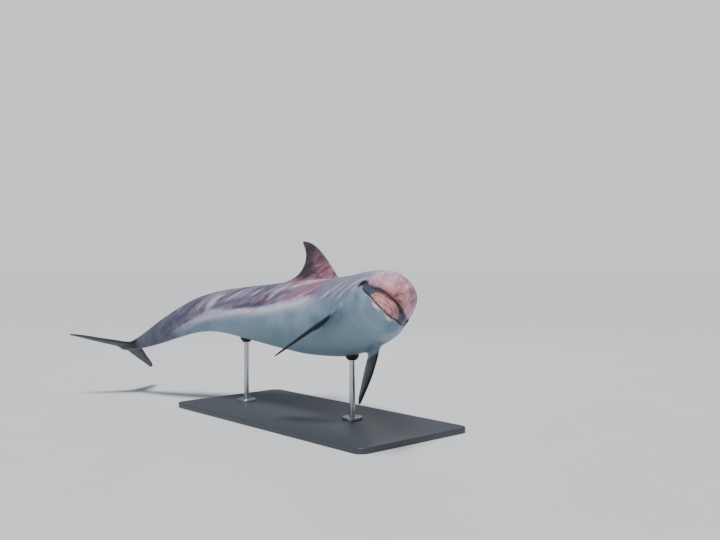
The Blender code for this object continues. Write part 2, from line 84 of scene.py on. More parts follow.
@dataclass(frozen=True)
class BodySizes:
    """Stations of the body, in metres behind the tip of the beak."""

    end: float = 2.312
    # place, back height, belly depth, half width, squareness
    trunk: tuple = (
        (0.15, 0.06, 0.05, 0.07, 2.1), (0.2, 0.105, 0.07, 0.09, 2.1), (0.26, 0.136, 0.088, 0.105, 2.1),
        (0.33, 0.15, 0.108, 0.117, 2.1), (0.45, 0.162, 0.137, 0.141, 2.1),
        (0.62, 0.169, 0.164, 0.158, 2.1), (0.85, 0.174, 0.179, 0.17, 2.1),
        (1.02, 0.172, 0.179, 0.168, 2.05), (1.2, 0.161, 0.165, 0.154, 2.0),
        (1.4, 0.137, 0.138, 0.126, 1.95), (1.6, 0.11, 0.107, 0.094, 1.88), (1.8, 0.094, 0.08, 0.065, 1.8),
        (1.98, 0.079, 0.059, 0.043, 1.72), (2.11, 0.056, 0.042, 0.029, 1.7),
        (2.21, 0.031, 0.026, 0.021, 1.8), (2.275, 0.014, 0.013, 0.015, 1.9),
        (2.32, 0.005, 0.005, 0.008, 2.0),
    )
    # place, half width, height over the mouth line, depth under it
    jaws: tuple = (
        (0.0, 0.033, 0.023, 0.022), (0.03, 0.04, 0.028, 0.029), (0.07, 0.047, 0.036, 0.04),
        (0.118, 0.06, 0.047, 0.055), (0.18, 0.077, 0.052, 0.073), (0.25, 0.094, 0.048, 0.096),
        (0.33, 0.108, 0.03, 0.123),
    )
    beak_round: float = 0.03
    mouth: tuple = (
        (0.0, -0.003), (0.05, 0.0), (0.12, 0.004), (0.19, 0.005), (0.235, 0.008), (0.27, 0.018),
    )
    mouth_end: float = 0.282
    melon_at: tuple = (0.232, 0.0, 0.062)
    melon_size: tuple = (0.106, 0.098, 0.088)
    melon_power: float = 2.25
    # rays that sample the head: origin along the spine, height, forward tilt above and below
    rays: tuple = (
        (0.03, -0.002, 84.0, 84.0), (0.03, -0.002, 62.0, 62.0), (0.03, -0.002, 36.0, 36.0),
        (0.032, -0.002, 12.0, 12.0), (0.05, 0.0, 0.0, 0.0), (0.08, 0.0, 0.0, 0.0), (0.112, 0.0, 0.0, 0.0),
        (0.146, 0.0, 34.0, 0.0), (0.176, 0.0, 50.0, 0.0), (0.202, 0.0, 52.0, 0.0),
        (0.224, 0.0, 44.0, 0.0), (0.243, 0.0, 31.0, 0.0), (0.262, 0.0, 15.0, 0.0), (0.282, 0.0, 0.0, 0.0),
    )


@dataclass(frozen=True)
class EyeSizes:
    """The eyeball and the opening between the lids."""

    place: float = 0.31
    height: float = 0.027
    rim_around: int = 56
    rim_across: int = 8
    radius: float = 0.0165
    shows: float = 0.0046
    half_length: float = 0.0106
    half_height: float = 0.0066
    lid_thick: float = 0.0012


@dataclass(frozen=True)
class FinSizes:
    """Fin stations: distance out, front edge, rear edge; and thickness to chord."""

    stations: tuple
    thick: float
    blend: float
    edge: float = 0.0008


DORSAL = FinSizes(
    (
        (0.1, 0.85, 1.42), (0.15, 0.9, 1.35), (0.173, 0.932, 1.298), (0.201, 0.972, 1.249),
        (0.24, 1.021, 1.223), (0.28, 1.068, 1.217), (0.32, 1.115, 1.224), (0.357, 1.161, 1.24),
        (0.385, 1.203, 1.258), (0.398, 1.233, 1.266), (0.4035, 1.254, 1.259),
    ),
    0.105,
    0.03,
)
FLUKE = FinSizes(
    (
        (0.0, 2.13, 2.318), (0.017, 2.168, 2.323), (0.045, 2.217, 2.336), (0.1, 2.264, 2.359),
        (0.155, 2.309, 2.384), (0.21, 2.349, 2.405), (0.245, 2.38, 2.421), (0.264, 2.402, 2.43),
        (0.272, 2.417, 2.429),
    ),
    0.095,
    0.026,
)
FLIPPER = FinSizes(
    (
        (-0.05, -0.03, 0.12), (0.0, -0.006, 0.118), (0.04, 0.001, 0.124), (0.09, 0.006, 0.14),
        (0.15, 0.014, 0.145), (0.21, 0.03, 0.142), (0.27, 0.05, 0.138), (0.32, 0.067, 0.133),
        (0.348, 0.079, 0.129), (0.362, 0.088, 0.125), (0.368, 0.098, 0.117),
    ),
    0.135,
    0.026,
)


@dataclass(frozen=True)
class FlipperSet:
    """How the flippers are set: shoulder, and sweep, droop and twist in degrees."""

    root: tuple = (0.5, 0.12, -0.116)
    pin: float = 0.55
    angles: dict = field(
        default_factory=lambda: {Side.RIGHT: (34.4, 75.3, -7.0), Side.LEFT: (39.1, 53.8, -5.5)}
    )


@dataclass(frozen=True)
class MeshSizes:
    """How finely the skin is meshed, and how its baking map is shared out."""

    head_step: float = 0.0033
    tip_step: float = 0.0022
    eye_step: float = 0.002
    body_step: float = 0.0092
    upper_columns: int = 44
    lower_columns: int = 42
    fin_sections: int = 46
    fin_side: int = 20
    map_body_width: float = 0.655
    map_head_boost: float = 2.2


# ------------------------------------------------------------------ small maths
def smooth_curve(xs: Sequence[float], ys: Sequence[float], x: Array) -> Array:
    """Monotone cubic curve through points.

    Args:
        xs: Rising places.
        ys: Values at them.
        x: Where to read the curve; it is flat past both ends.

    Returns:
        The curve's values.
    """
    xs, ys = np.asarray(xs, float), np.asarray(ys, float)
    h = np.diff(xs)
    slope = np.diff(ys) / h
    m = np.zeros_like(ys)
    w1, w2 = 2 * h[1:] + h[:-1], h[1:] + 2 * h[:-1]
    same = slope[:-1] * slope[1:] > 0
    a, b = np.where(same, slope[:-1], 1.0), np.where(same, slope[1:], 1.0)
    m[1:-1] = np.where(same, (w1 + w2) / (w1 / a + w2 / b), 0.0)
    for end, k, n in ((0, 0, 1), (-1, -1, -2)):
        m[end] = ((2 * h[k] + h[n]) * slope[k] - h[k] * slope[n]) / (h[k] + h[n])
        if m[end] * slope[k] <= 0:
            m[end] = 0.0
        elif slope[k] * slope[n] <= 0 and abs(m[end]) > 3 * abs(slope[k]):
            m[end] = 3 * slope[k]
    x = np.clip(np.asarray(x, float), xs[0], xs[-1])
    i = np.clip(np.searchsorted(xs, x, side="right") - 1, 0, len(h) - 1)
    s = (x - xs[i]) / h[i]
    return (
        (1 + 2 * s) * (1 - s) ** 2 * ys[i] + s * (1 - s) ** 2 * h[i] * m[i]
        + s * s * (3 - 2 * s) * ys[i + 1] + s * s * (s - 1) * h[i] * m[i + 1]
    )


def merge(a: Array, b: Array, k: Array | float) -> Array:
    """Smooth union of two fields with blend width k."""
    h = np.clip(0.5 + 0.5 * (b - a) / k, 0.0, 1.0)
    return b * (1 - h) + a * h - k * h * (1 - h)


def step(low: float, high: float, x: Array) -> Array:
    """Smooth step from 0 at low to 1 at high; falls instead where high is under low."""
    s = np.clip((x - low) / (high - low), 0.0, 1.0)
    return s * s * (3 - 2 * s)


def hill(x: Array, width: float) -> Array:
    """Bell curve of unit height."""
    return np.exp(-((x / width) ** 2))


def near_path(points: Array, path: Array) -> tuple[Array, Array]:
    """Distance of points from a path on either side of the animal.

    Args:
        points: Places on the straight animal.
        path: Corners of the path on the left side.

    Returns:
        The distances, and how far along the path the nearest spot is, from 0 to 1.
    """
    q = np.array(points, float)
    q[..., 1] = np.abs(q[..., 1])
    best, share = np.full(q.shape[:-1], 9.0), np.zeros(q.shape[:-1])
    for k in range(len(path) - 1):
        a, b = path[k], path[k + 1]
        s = np.clip(((q - a) @ (b - a)) / ((b - a) @ (b - a)), 0.0, 1.0)
        far = np.linalg.norm(q - (a + s[..., None] * (b - a)), axis=-1)
        share = np.where(far < best, (k + s) / (len(path) - 1), share)
        best = np.minimum(best, far)
    return best, share


# ------------------------------------------------------------------ small mesh tools
def face_outward(obj: Object) -> None:
    """Turn a closed mesh's faces outward.

    Args:
        obj: The object whose mesh is turned.
    """
    mesh = obj.data
    mesh.update()
    co = np.empty(len(mesh.vertices) * 3)
    mesh.vertices.foreach_get("co", co)
    co = co.reshape(-1, 3)
    mesh.calc_loop_triangles()
    tri = np.empty(len(mesh.loop_triangles) * 3, dtype=np.int64)
    mesh.loop_triangles.foreach_get("vertices", tri)
    a, b, c = (co[tri.reshape(-1, 3)[:, k]] for k in range(3))
    if (np.cross(a, b) * c).sum() < 0:
        mesh.flip_normals()


def circle(x: float, y: float, radius: float, height: float, count: int) -> list[tuple]:
    """Points evenly round a level circle."""
    angles = [2 * math.pi * j / count for j in range(count)]
    return [(x + radius * math.cos(a), y + radius * math.sin(a), height) for a in angles]


def link(name: str, data: bpy.types.ID) -> Object:
    """A new object in the scene that holds a mesh, light or camera.

    Args:
        name: The object's name.
        data: What the object holds.

    Returns:
        The new object.
    """
    obj = bpy.data.objects.new(name, data)
    bpy.context.scene.collection.objects.link(obj)
    return obj


def store(mesh: bpy.types.Mesh, name: str, values: Array) -> None:
    """Keep a number for each point of a mesh."""
    layer = mesh.attributes.new(name, "FLOAT", "POINT")
    layer.data.foreach_set("value", np.asarray(values, dtype=np.float32))


# ------------------------------------------------------------------ form
class Spine:
    """The curved, banked spine that the straight animal is laid on."""

    def __init__(self, sizes: SpineSizes) -> None:
        """Integrate the bends into places and directions.

        Args:
            sizes: Bends by distance along the animal.
        """
        self.sizes = sizes
        t = np.linspace(-0.05, 2.5, 511)
        turn, rise, bank = (
            np.radians(smooth_curve(sizes.bend_at, v, t)) for v in (sizes.yaw, sizes.pitch, sizes.roll)
        )
        ahead = np.stack([np.cos(rise) * np.cos(turn), np.cos(rise) * np.sin(turn), np.sin(rise)], 1)
        side = np.stack([-np.sin(turn), np.cos(turn), np.zeros_like(t)], 1)
        over = np.cross(ahead, side)
        left = side * np.cos(bank)[:, None] + over * np.sin(bank)[:, None]
        top = over * np.cos(bank)[:, None] - side * np.sin(bank)[:, None]
        place = np.zeros((len(t), 3))
        place[1:] = -np.cumsum((ahead[1:] + ahead[:-1]) / 2 * (t[1] - t[0]), axis=0)
        pin = [np.interp(sizes.pin, t, place[:, k]) for k in range(3)]
        self.t = t
        self.parts = (place + np.array(sizes.pin_at) - np.array(pin), ahead, left, top)

    def at(self, t: Array) -> list[Array]:
        """Place, ahead, left and top vectors of the spine at each t."""
        return [np.stack([np.interp(t, self.t, p[:, k]) for k in range(3)], -1) for p in self.parts]

    def bend(self, points: Array) -> Array:
        """Carry points of the straight animal onto the spine.

        Args:
            points: Points of the straight animal.

        Returns:
            The points in the model's frame.
        """
        flat = np.asarray(points, float).reshape(-1, 3)
        place, _, left, top = self.at(flat[:, 0])
        return (place + left * flat[:, 1:2] + top * flat[:, 2:3]).reshape(np.shape(points))

    def carry(self, points: Array, pin: float) -> Array:
        """Carry points rigidly with the spine's frame at pin.

        Args:
            points: Points of the straight animal.
            pin: Distance along the animal whose frame carries them.

        Returns:
            The points in the model's frame.
        """
        flat = np.asarray(points, float).reshape(-1, 3)
        place, ahead, left, top = self.at(np.array([pin]))
        out = place - ahead * (flat[:, 0:1] - pin) + left * flat[:, 1:2] + top * flat[:, 2:3]
        return out.reshape(np.shape(points))


class BodyForm:
    """The straight body as a field that is negative inside."""

    ALONG = np.linspace(0.0, 2.4, 2401)
    FIELD_ENDS = 0.5

    def __init__(self, sizes: BodySizes) -> None:
        """Draw smooth curves through the stations.

        Args:
            sizes: Stations of the body.
        """
        self.sizes = sizes
        self.trunk = self._curves(sizes.trunk)
        self.jaws = self._curves(sizes.jaws)
        self.mouth = self._curves(sizes.mouth)[0]

    def _curves(self, rows: Iterable) -> list[Array]:
        """Smooth curves through each column of a table of stations."""
        table = np.array(rows)
        return [smooth_curve(table[:, 0], table[:, k], self.ALONG) for k in range(1, table.shape[1])]

    def mouth_height(self, t: Array) -> Array:
        """Height of the mouth line at t."""
        return np.interp(t, self.ALONG, self.mouth)

    def trunk_field(self, t: Array, y: Array, z: Array) -> Array:
        """Field of the trunk, skull included.

        Args:
            t: Distances from the beak's tip.
            y: Distances to the left.
            z: Heights over the spine.

        Returns:
            The field, negative inside.
        """
        up, down, wide, power = (np.interp(t, self.ALONG, c) for c in self.trunk)
        front = self.sizes.trunk[0][0]
        fade = np.sqrt(np.clip(1 - ((front + 0.04 - t) / 0.04) ** 2, 1e-4, 1.0))
        fade = np.where(t < front + 0.04, fade, 1.0)
        fade = np.where(t < front, 1e-2, fade)
        tall, wide = np.where(z > 0, up, down) * fade, wide * fade
        ring = ((np.abs(y) / wide) ** power + (np.abs(z) / tall) ** power) ** (1 / power)
        return (ring - 1) * np.minimum(wide, tall) + np.maximum(front - t, 0)

    def jaw_field(self, t: Array, y: Array, z: Array, upper: bool) -> Array:
        """Field of the upper or lower jaw.

        Args:
            t: Distances from the beak's tip.
            y: Distances to the left.
            z: Heights over the spine.
            upper: The upper jaw, not the lower one.

        Returns:
            The field, negative inside.
        """
        wide, up, down = (np.interp(t, self.ALONG, c) for c in self.jaws)
        reach = 0.0 if upper else 0.003
        s = np.clip((self.sizes.beak_round - t - reach) / self.sizes.beak_round, 0.0, 1.0)
        fade = np.sqrt(np.clip(1 - s ** 2.4, 1e-4, 1.0))
        over = z - self.mouth_height(t)
        if upper:
            tall = np.where(over > 0, up, 0.5 * down)
        else:
            tall = np.where(over > 0, 0.5 * up, down)
            wide = wide * 0.95
        wide, tall = wide * fade, tall * fade
        ring = ((np.abs(y) / wide) ** 2.35 + (np.abs(over) / tall) ** 2.35) ** (1 / 2.35)
        return (ring - 1) * np.minimum(wide, tall) + np.maximum(-reach - t, 0)

    def melon_field(self, t: Array, y: Array, z: Array) -> Array:
        """Field of the rounded forehead.

        Args:
            t: Distances from the beak's tip.
            y: Distances to the left.
            z: Heights over the spine.

        Returns:
            The field, negative inside.
        """
        at, size, p = self.sizes.melon_at, self.sizes.melon_size, self.sizes.melon_power
        u, v, w = np.abs(t - at[0]) / size[0], np.abs(y) / size[1], np.abs(z - at[2]) / size[2]
        return ((u ** p + v ** p + w ** p) ** (1 / p) - 1) * min(size)

    def body(self, t: Array, y: Array, z: Array) -> Array:
        """Field of the whole body without its fins.

        Args:
            t: Distances from the beak's tip.
            y: Distances to the left.
            z: Heights over the spine.

        Returns:
            The field, negative inside.
        """
        head = merge(self.trunk_field(t, y, z), self.melon_field(t, y, z), 0.03)
        jaws = merge(self.jaw_field(t, y, z, True), self.jaw_field(t, y, z, False), 0.006)
        soft = 0.01 + 0.03 * np.clip((0.015 - z) / 0.04, 0.0, 1.0)
        return np.where(t < self.FIELD_ENDS, merge(head, jaws, soft), head)

    def ray_row(self, place: float) -> tuple:
        """Origin and tilts of the ring of rays at a row number, whole or part.

        Args:
            place: Row number in the table of rays.

        Returns:
            Origin and tilts.
        """
        table = np.array(self.sizes.rays)
        rows = np.arange(len(table))
        return tuple(float(smooth_curve(rows, table[:, k], place)) for k in range(4))

    def cast(self, row: tuple, angles: Array) -> Array:
        """Points where a ring of rays leaves the body.

        Args:
            row: Origin along the spine, its height, and forward tilts above and below.
            angles: Ray directions, from the back towards the animal's left.

        Returns:
            One point for each angle.
        """
        origin_t, origin_z, up, down = row
        angles = np.asarray(angles, float)
        tilt = np.radians(down + (up - down) * (1 + np.cos(angles)) / 2)
        ray = np.stack([-np.sin(tilt), np.cos(tilt) * np.sin(angles), np.cos(tilt) * np.cos(angles)], 1)
        start = np.array([origin_t, 0.0, origin_z])
        if origin_t > self.FIELD_ENDS:
            high, low, wide, power = (float(np.interp(origin_t, self.ALONG, c)) for c in self.trunk)
            tall = np.where(ray[:, 2] > 0, high, low)
            ring = (np.abs(ray[:, 1]) / wide) ** power + (np.abs(ray[:, 2]) / tall) ** power
            return start + (ring ** (-1 / power))[:, None] * ray
        reach = np.linspace(0.0, 0.28, 113)
        spots = start + reach[:, None, None] * ray
        inside = self.body(spots[..., 0], spots[..., 1], spots[..., 2]) < 0
        low = reach[inside.shape[0] - 1 - np.argmax(inside[::-1], axis=0)]
        high = low + reach[1]
        for _ in range(16):
            mid = (low + high) / 2
            spot = start + mid[:, None] * ray
            now = self.body(spot[:, 0], spot[:, 1], spot[:, 2]) < 0
            low, high = np.where(now, mid, low), np.where(now, high, mid)
        return start + low[:, None] * ray

    def mouth_angle(self, row: tuple) -> float:
        """Angle at which a ring of rays meets the mouth line on the left side.

        Args:
            row: Origin and tilts of the ring.

        Returns:
            The angle from the top, in radians.
        """
        angles = np.radians(np.linspace(60, 150, 91))
        spots = self.cast(row, angles)
        over = spots[:, 2] - self.mouth_height(spots[:, 0])
        k = int(np.argmax(over < 0))
        return float(np.interp(0.0, [over[k], over[k - 1]], [angles[k], angles[k - 1]]))


class Blade:
    """A fin as aerofoil sections, built out from its root."""

    def __init__(self, sizes: FinSizes) -> None:
        """Draw smooth front and rear edges through the stations.

        Args:
            sizes: Stations and thickness of the fin.
        """
        self.sizes = sizes
        rows = np.array(sizes.stations)
        self.out = np.linspace(rows[0, 0], rows[-1, 0], 600)
        self.front = smooth_curve(rows[:, 0], rows[:, 1], self.out)
        self.rear = smooth_curve(rows[:, 0], rows[:, 2], self.out)

    @staticmethod
    def thickness(x: Array) -> Array:
        """Half thickness of the section over its chord, for a thickness of one."""
        x = np.clip(x, 0.0, 1.0)
        return 5 * (0.2969 * np.sqrt(x) - 0.126 * x - 0.3516 * x ** 2 + 0.2843 * x ** 3 - 0.1036 * x ** 4)

    def sections(self, count: int, per_side: int) -> Array:
        """Closed sections as (distance out, place along the chord, across).

        Args:
            count: Number of sections from root to tip.
            per_side: Number of faces along each side of a section.

        Returns:
            Points by section and by place round it.
        """
        s = np.linspace(0, 1, count)
        s = 1 - (1 - s) ** 1.5
        reach = self.out[0] + (self.out[-1] - self.out[0]) * s
        front, rear = np.interp(reach, self.out, self.front), np.interp(reach, self.out, self.rear)
        x = (1 - np.cos(np.linspace(0, math.pi, per_side + 1))) / 2
        x = np.concatenate([x, x[-2:0:-1]])
        sign = np.concatenate([np.ones(per_side + 1), -np.ones(per_side - 1)])
        chord = (rear - front)[:, None]
        half = self.thickness(x) * self.sizes.thick * chord + self.sizes.edge / 2 * x
        return np.stack([reach[:, None] + 0 * half, front[:, None] + chord * x, half * sign], -1)

    def field(self, out: Array, along: Array, across: Array) -> Array:
        """Distance-like field of the blade, negative inside.

        Args:
            out: Distances out from the root.
            along: Distances along the chord.
            across: Distances from the middle plane.

        Returns:
            The field, negative inside.
        """
        front, rear = np.interp(out, self.out, self.front), np.interp(out, self.out, self.rear)
        chord = np.maximum(rear - front, 1e-4)
        half = self.thickness((along - front) / chord) * self.sizes.thick * chord
        side = np.abs(across) - half
        past = np.maximum(np.maximum(front - along, along - rear), 0.0)
        past = np.hypot(past, np.maximum(np.maximum(out - self.out[-1], self.out[0] - out), 0.0))
        return np.where(side > 0, np.hypot(side, past), side + past)


class Fin:
    """A blade in its place on the straight animal."""

    def __init__(self, name: str, blade: Blade, axes: Array, root: Array) -> None:
        """Place a blade by its axes and its root."""
        self.name, self.blade, self.axes, self.root = name, blade, axes, root

    def place(self, local: Array) -> Array:
        """Points of the straight animal from (out, along, across)."""
        return self.root + local @ self.axes

    def local(self, points: Array) -> Array:
        """(out, along, across) of points of the straight animal."""
        return (points - self.root) @ self.axes.T

    def field(self, points: Array) -> Array:
        """The fin's field at points of the straight animal.

        Args:
            points: Points of the straight animal.

        Returns:
            The field, negative inside.
        """
        q = self.local(points)
        out = np.abs(q[..., 0]) if self.name == "flukes" else q[..., 0]
        return self.blade.field(out, q[..., 1], q[..., 2])


# ------------------------------------------------------------------ skin
class Skin:
    """The animal's whole skin: body, fins, folds and lids in one mesh."""

    FLESH = (
        "head", "melon", "beak", "lower_jaw", "neck", "trunk_front", "trunk_rear", "tail_stock",
        "fluke_left", "fluke_right", "dorsal_fin", "flipper_left", "flipper_right",
    )
    # rounds of smoothing along the mouth line, and behind the mouth's end
    MOUTH_ROUNDS = 6
    BEHIND_ROUNDS = 16
    # the fillet at a fin's root: reach in blend widths, rounds, and probe and longest step in metres
    FILLET_REACH = 1.6
    FILLET_ROUNDS = 9
    FILLET_PROBE = 5e-4
    FILLET_STEP = 0.006

    def __init__(self, form: BodyForm, spine: Spine, eyes: dict[Side, Array]) -> None:
        """Take the form and find where the fins stand.

        Args:
            form: The straight body.
            spine: The spine that it is laid on.
            eyes: Centres of the eyeballs on the straight animal.
        """
        self.form, self.spine, self.eyes = form, spine, eyes
        self.mesh_sizes, self.eye_sizes = MeshSizes(), EyeSizes()
        self.set = FlipperSet()
        self.fins = self._place_fins()

    # -------- fins in place
    def _flipper_axes(self, side: Side) -> Array:
        """Directions of one flipper on the straight animal.

        Args:
            side: Which flipper.

        Returns:
            Unit vectors out, along the chord and across.
        """
        sweep, droop, twist = (math.radians(v) for v in self.set.angles[side])
        out = np.array([
            math.sin(sweep), side.value * math.cos(sweep) * math.cos(droop),
            -math.cos(sweep) * math.sin(droop),
        ])
        chord = np.array([1.0, 0.0, 0.0]) - out * out[0]
        chord /= np.linalg.norm(chord)
        chord = chord * math.cos(twist) + np.cross(out, chord) * math.sin(twist)
        return np.array([out, chord, np.cross(out, chord)])

    def _place_fins(self) -> dict[str, Fin]:
        """Set every fin on the straight animal.

        Returns:
            The fins by name.
        """
        origin = np.zeros(3)
        upright = np.array([[0, 0, 1], [1, 0, 0], [0, 1, 0]], float)
        level = np.array([[0, 1, 0], [1, 0, 0], [0, 0, 1]], float)
        fins = {
            "dorsal": Fin("dorsal", Blade(DORSAL), upright, origin),
            "flukes": Fin("flukes", Blade(FLUKE), level, origin),
        }
        for side in Side:
            root = np.array(self.set.root) * np.array([1, side.value, 1])
            name = f"flipper_{side.name.lower()}"
            fins[name] = Fin(name, Blade(FLIPPER), self._flipper_axes(side), root)
        return fins

    # -------- rings of the body
    def _rows(self) -> list[tuple]:
        """Rings of rays from the tip of the beak to the flukes, evenly spaced on the skin.

        Returns:
            Origin and tilts of each ring.
        """
        last = len(self.form.sizes.rays) - 1
        fine = np.linspace(0, last, 260)
        probe = np.radians([0, 60, 120, 180, 240, 300])
        rings = np.array([self.form.cast(self.form.ray_row(r), probe) for r in fine])
        travel = np.linalg.norm(np.diff(rings, axis=0), axis=2).max(axis=1)
        path = np.concatenate([[0.0], np.cumsum(travel)])
        sizes, rows, at = self.mesh_sizes, [], 0.0
        while at < path[-1] - 0.6 * sizes.eye_step:
            rows.append(self.form.ray_row(float(np.interp(at, path, fine))))
            near_tip = at < 0.05
            near_eye = at > path[-1] - 0.02
            at += sizes.tip_step if near_tip else sizes.eye_step if near_eye else sizes.head_step
        t = self.form.sizes.mouth_end
        while t < self.form.sizes.end - 0.004:
            rows.append((t, 0.0, 0.0, 0.0))
            calm = float(step(0.4, 0.62, t))
            fine_step = sizes.eye_step if t < 0.372 else sizes.head_step
            t += fine_step + (sizes.body_step - fine_step) * calm
        rows.append((self.form.sizes.end, 0.0, 0.0, 0.0))
        return rows

    def _columns(self, edge: float) -> Array:
        """Ray angles round a ring, with a column on each mouth line.

        Args:
            edge: Angle of the mouth line on the left side.

        Returns:
            Angles from the top, all the way round.
        """
        s = np.linspace(0, 1, self.mesh_sizes.upper_columns)
        upper = np.concatenate([[0.0], np.cumsum(0.35 + np.sin(np.pi * s) ** 0.8)])
        s = np.linspace(0, 1, self.mesh_sizes.lower_columns)
        lower = np.concatenate([[0.0], np.cumsum(0.3 + 1.1 * s ** 0.6)])
        upper, lower = edge * upper / upper[-1], edge + (math.pi - edge) * lower / lower[-1]
        left = np.concatenate([upper, lower[1:]])
        return np.concatenate([left, 2 * math.pi - left[-2:0:-1]])

    def _rings(self) -> tuple[Array, Array]:
        """Ring points of the body and each point's signed distance from the mouth line.

        Returns:
            The ring points, and their distances over (negative) or under the mouth line.
        """
        rings, offsets = [], []
        end = self.form.sizes.mouth_end
        corner = self.form.mouth_angle((end, 0.0, 0.0, 0.0))
        for row in self.rows:
            if row[0] < end or row[2] > 0:
                edge = self.form.mouth_angle(row)
            else:
                edge = corner + (math.pi / 2 - corner) * float(step(end, 0.5, row[0]))
            angles = self._columns(edge)
            points = self.form.cast(row, angles)
            turn = np.minimum(angles, 2 * math.pi - angles) - edge
            rings.append(points)
            offsets.append(turn * np.hypot(points[:, 1], points[:, 2]))
        rings, offsets = np.array(rings), np.array(offsets)
        near = 0.5 * step(0.02, 0.008, np.abs(offsets[1:-1]))[..., None]
        for _ in range(self.MOUTH_ROUNDS):
            rings[1:-1] += near * ((rings[:-2] + rings[2:]) / 2 - rings[1:-1])
        behind = 0.5 * (step(0.288, 0.304, rings[..., 0]) * step(0.036, 0.014, np.abs(offsets)))[..., None]
        for _ in range(self.BEHIND_ROUNDS):
            rings += behind * ((np.roll(rings, 1, axis=1) + np.roll(rings, -1, axis=1)) / 2 - rings)
        return rings, offsets

    # -------- folds, lids and openings
    def _normals(self, rings: Array) -> Array:
        """Outward directions at ring points.

        Args:
            rings: Points, ring by ring.

        Returns:
            A unit vector for each point.
        """
        along = np.gradient(rings, axis=0)
        around = np.roll(rings, -1, axis=1) - np.roll(rings, 1, axis=1)
        normal = np.cross(along, around)
        normal /= np.linalg.norm(normal, axis=2, keepdims=True) + 1e-12
        middle = rings.mean(axis=1, keepdims=True)
        flip = np.sign(((rings - middle) * normal).sum(2, keepdims=True))
        return normal * np.where(flip == 0, 1.0, flip)

    def _eye_relief(self, rings: Array, side: Side) -> Array:
        """Lid height around one eye, over the bare skin.

        Args:
            rings: Points, ring by ring.
            side: Which eye.

        Returns:
            Heights in metres.
        """
        e, centre = self.eye_sizes, self.eyes[side]
        a, b = rings[..., 0] - centre[0], rings[..., 2] - centre[2]
        near = np.sign(rings[..., 1]) == side.value
        mound = 0.0034 * np.exp(-((a / 0.027) ** 2 + (b / 0.017) ** 2))
        brow = 0.0022 * np.exp(-(((a + 0.2 * b) / 0.026) ** 2 + ((b - 0.0155) / 0.0055) ** 2))
        under = -0.0012 * np.exp(-((a / 0.022) ** 2 + ((b + 0.014) / 0.0038) ** 2))
        inside = e.radius ** 2 - a ** 2 - b ** 2
        ball = abs(centre[1]) + np.sqrt(np.maximum(inside, 0.0)) - np.abs(rings[..., 1])
        ball = np.where(inside > 0.0, ball, -0.02)
        q = np.sqrt((a / e.half_length) ** 2 + (b / e.half_height) ** 2)
        cover = ball + 0.0012
        lids = 0.5 * (mound + cover + np.sqrt((mound - cover) ** 2 + 0.0012 ** 2))
        open_part = ball - 0.003
        relief = np.where(q < 1.0, open_part, lids) + brow + under
        return np.where(near & (np.hypot(a, b) < 0.09), relief, 0.0)

    def _mouth_relief(self, rings: Array, offsets: Array) -> Array:
        """Height of the mouth line, its ridges, the lip pads and the beak's two lobes.

        Args:
            rings: Points, ring by ring.
            offsets: Distances from the mouth line.

        Returns:
            Heights in metres.
        """
        t, y, z = rings[..., 0], rings[..., 1], rings[..., 2]
        mouth = step(0.283, 0.262, t)
        height = -0.0038 * hill(offsets, 0.0029) * mouth
        height += 0.0007 * hill(np.abs(offsets) - 0.0068, 0.0036) * mouth
        over = z - self.form.mouth_height(t)
        beside = step(0.002, 0.016, np.abs(y))
        pad = np.hypot((t - 0.026) / 0.036, (over + 0.0082) / 0.0105)
        height += 0.006 * beside * step(1.15, 0.35, pad)
        height -= 0.002 * beside * hill(over + 0.0235, 0.0045) * hill(t - 0.026, 0.034)
        lobe = hill(t - 0.016, 0.034) * hill(np.abs(y) - 0.0175, 0.0115) * step(0.004, 0.014, over)
        height += 0.0028 * lobe
        return height - 0.0016 * hill(offsets, 0.005) * hill(t - 0.283, 0.006)

    def _fold_relief(self, rings: Array) -> Array:
        """Height of the melon's crease, the blowhole's slit and the folds of throat and nape.

        Args:
            rings: Points, ring by ring.

        Returns:
            Heights in metres.
        """
        t, y, z = rings[..., 0], rings[..., 1], rings[..., 2]
        far, share = near_path(rings, np.array(MarkingsAndPaintedLight.CREASE))
        height = -0.0066 * hill(far, 0.009) * step(0.95, 0.45, share)
        far, share = near_path(rings - np.array([0.004, 0.0, 0.024]), np.array(MarkingsAndPaintedLight.CREASE))
        height += 0.0042 * hill(far, 0.015) * step(1.0, 0.6, share)
        slit = t - 0.352 - 22.0 * y ** 2
        wide = np.clip(1 - (y / 0.015) ** 2, 0.0, 1.0) * (z > 0.1)
        height -= 0.0034 * hill(slit, 0.0022) * wide
        height += 0.0014 * hill(slit - 0.006, 0.005) * wide
        under = step(0.02, -0.06, z)
        for place, depth, lean in ((0.372, 0.0006, -0.03), (0.432, 0.0004, 0.04)):
            bow = t - place - 1.5 * y ** 2 - lean * y + 0.004 * np.sin(38.0 * y + 90.0 * place)
            height -= depth * hill(bow, 0.0075) * under
            height += 0.5 * depth * hill(bow - 0.014, 0.012) * under
        nape = step(0.08, 0.13, z)
        for place in (0.415, 0.447):
            height -= 0.0008 * hill(t - place + 0.6 * y ** 2, 0.005) * nape
        return height

    def _relief(self, rings: Array, offsets: Array) -> Array:
        """Height of folds and grooves over the plain form, in metres."""
        height = self._mouth_relief(rings, offsets) + self._fold_relief(rings)
        return height + sum(self._eye_relief(rings, side) for side in Side)

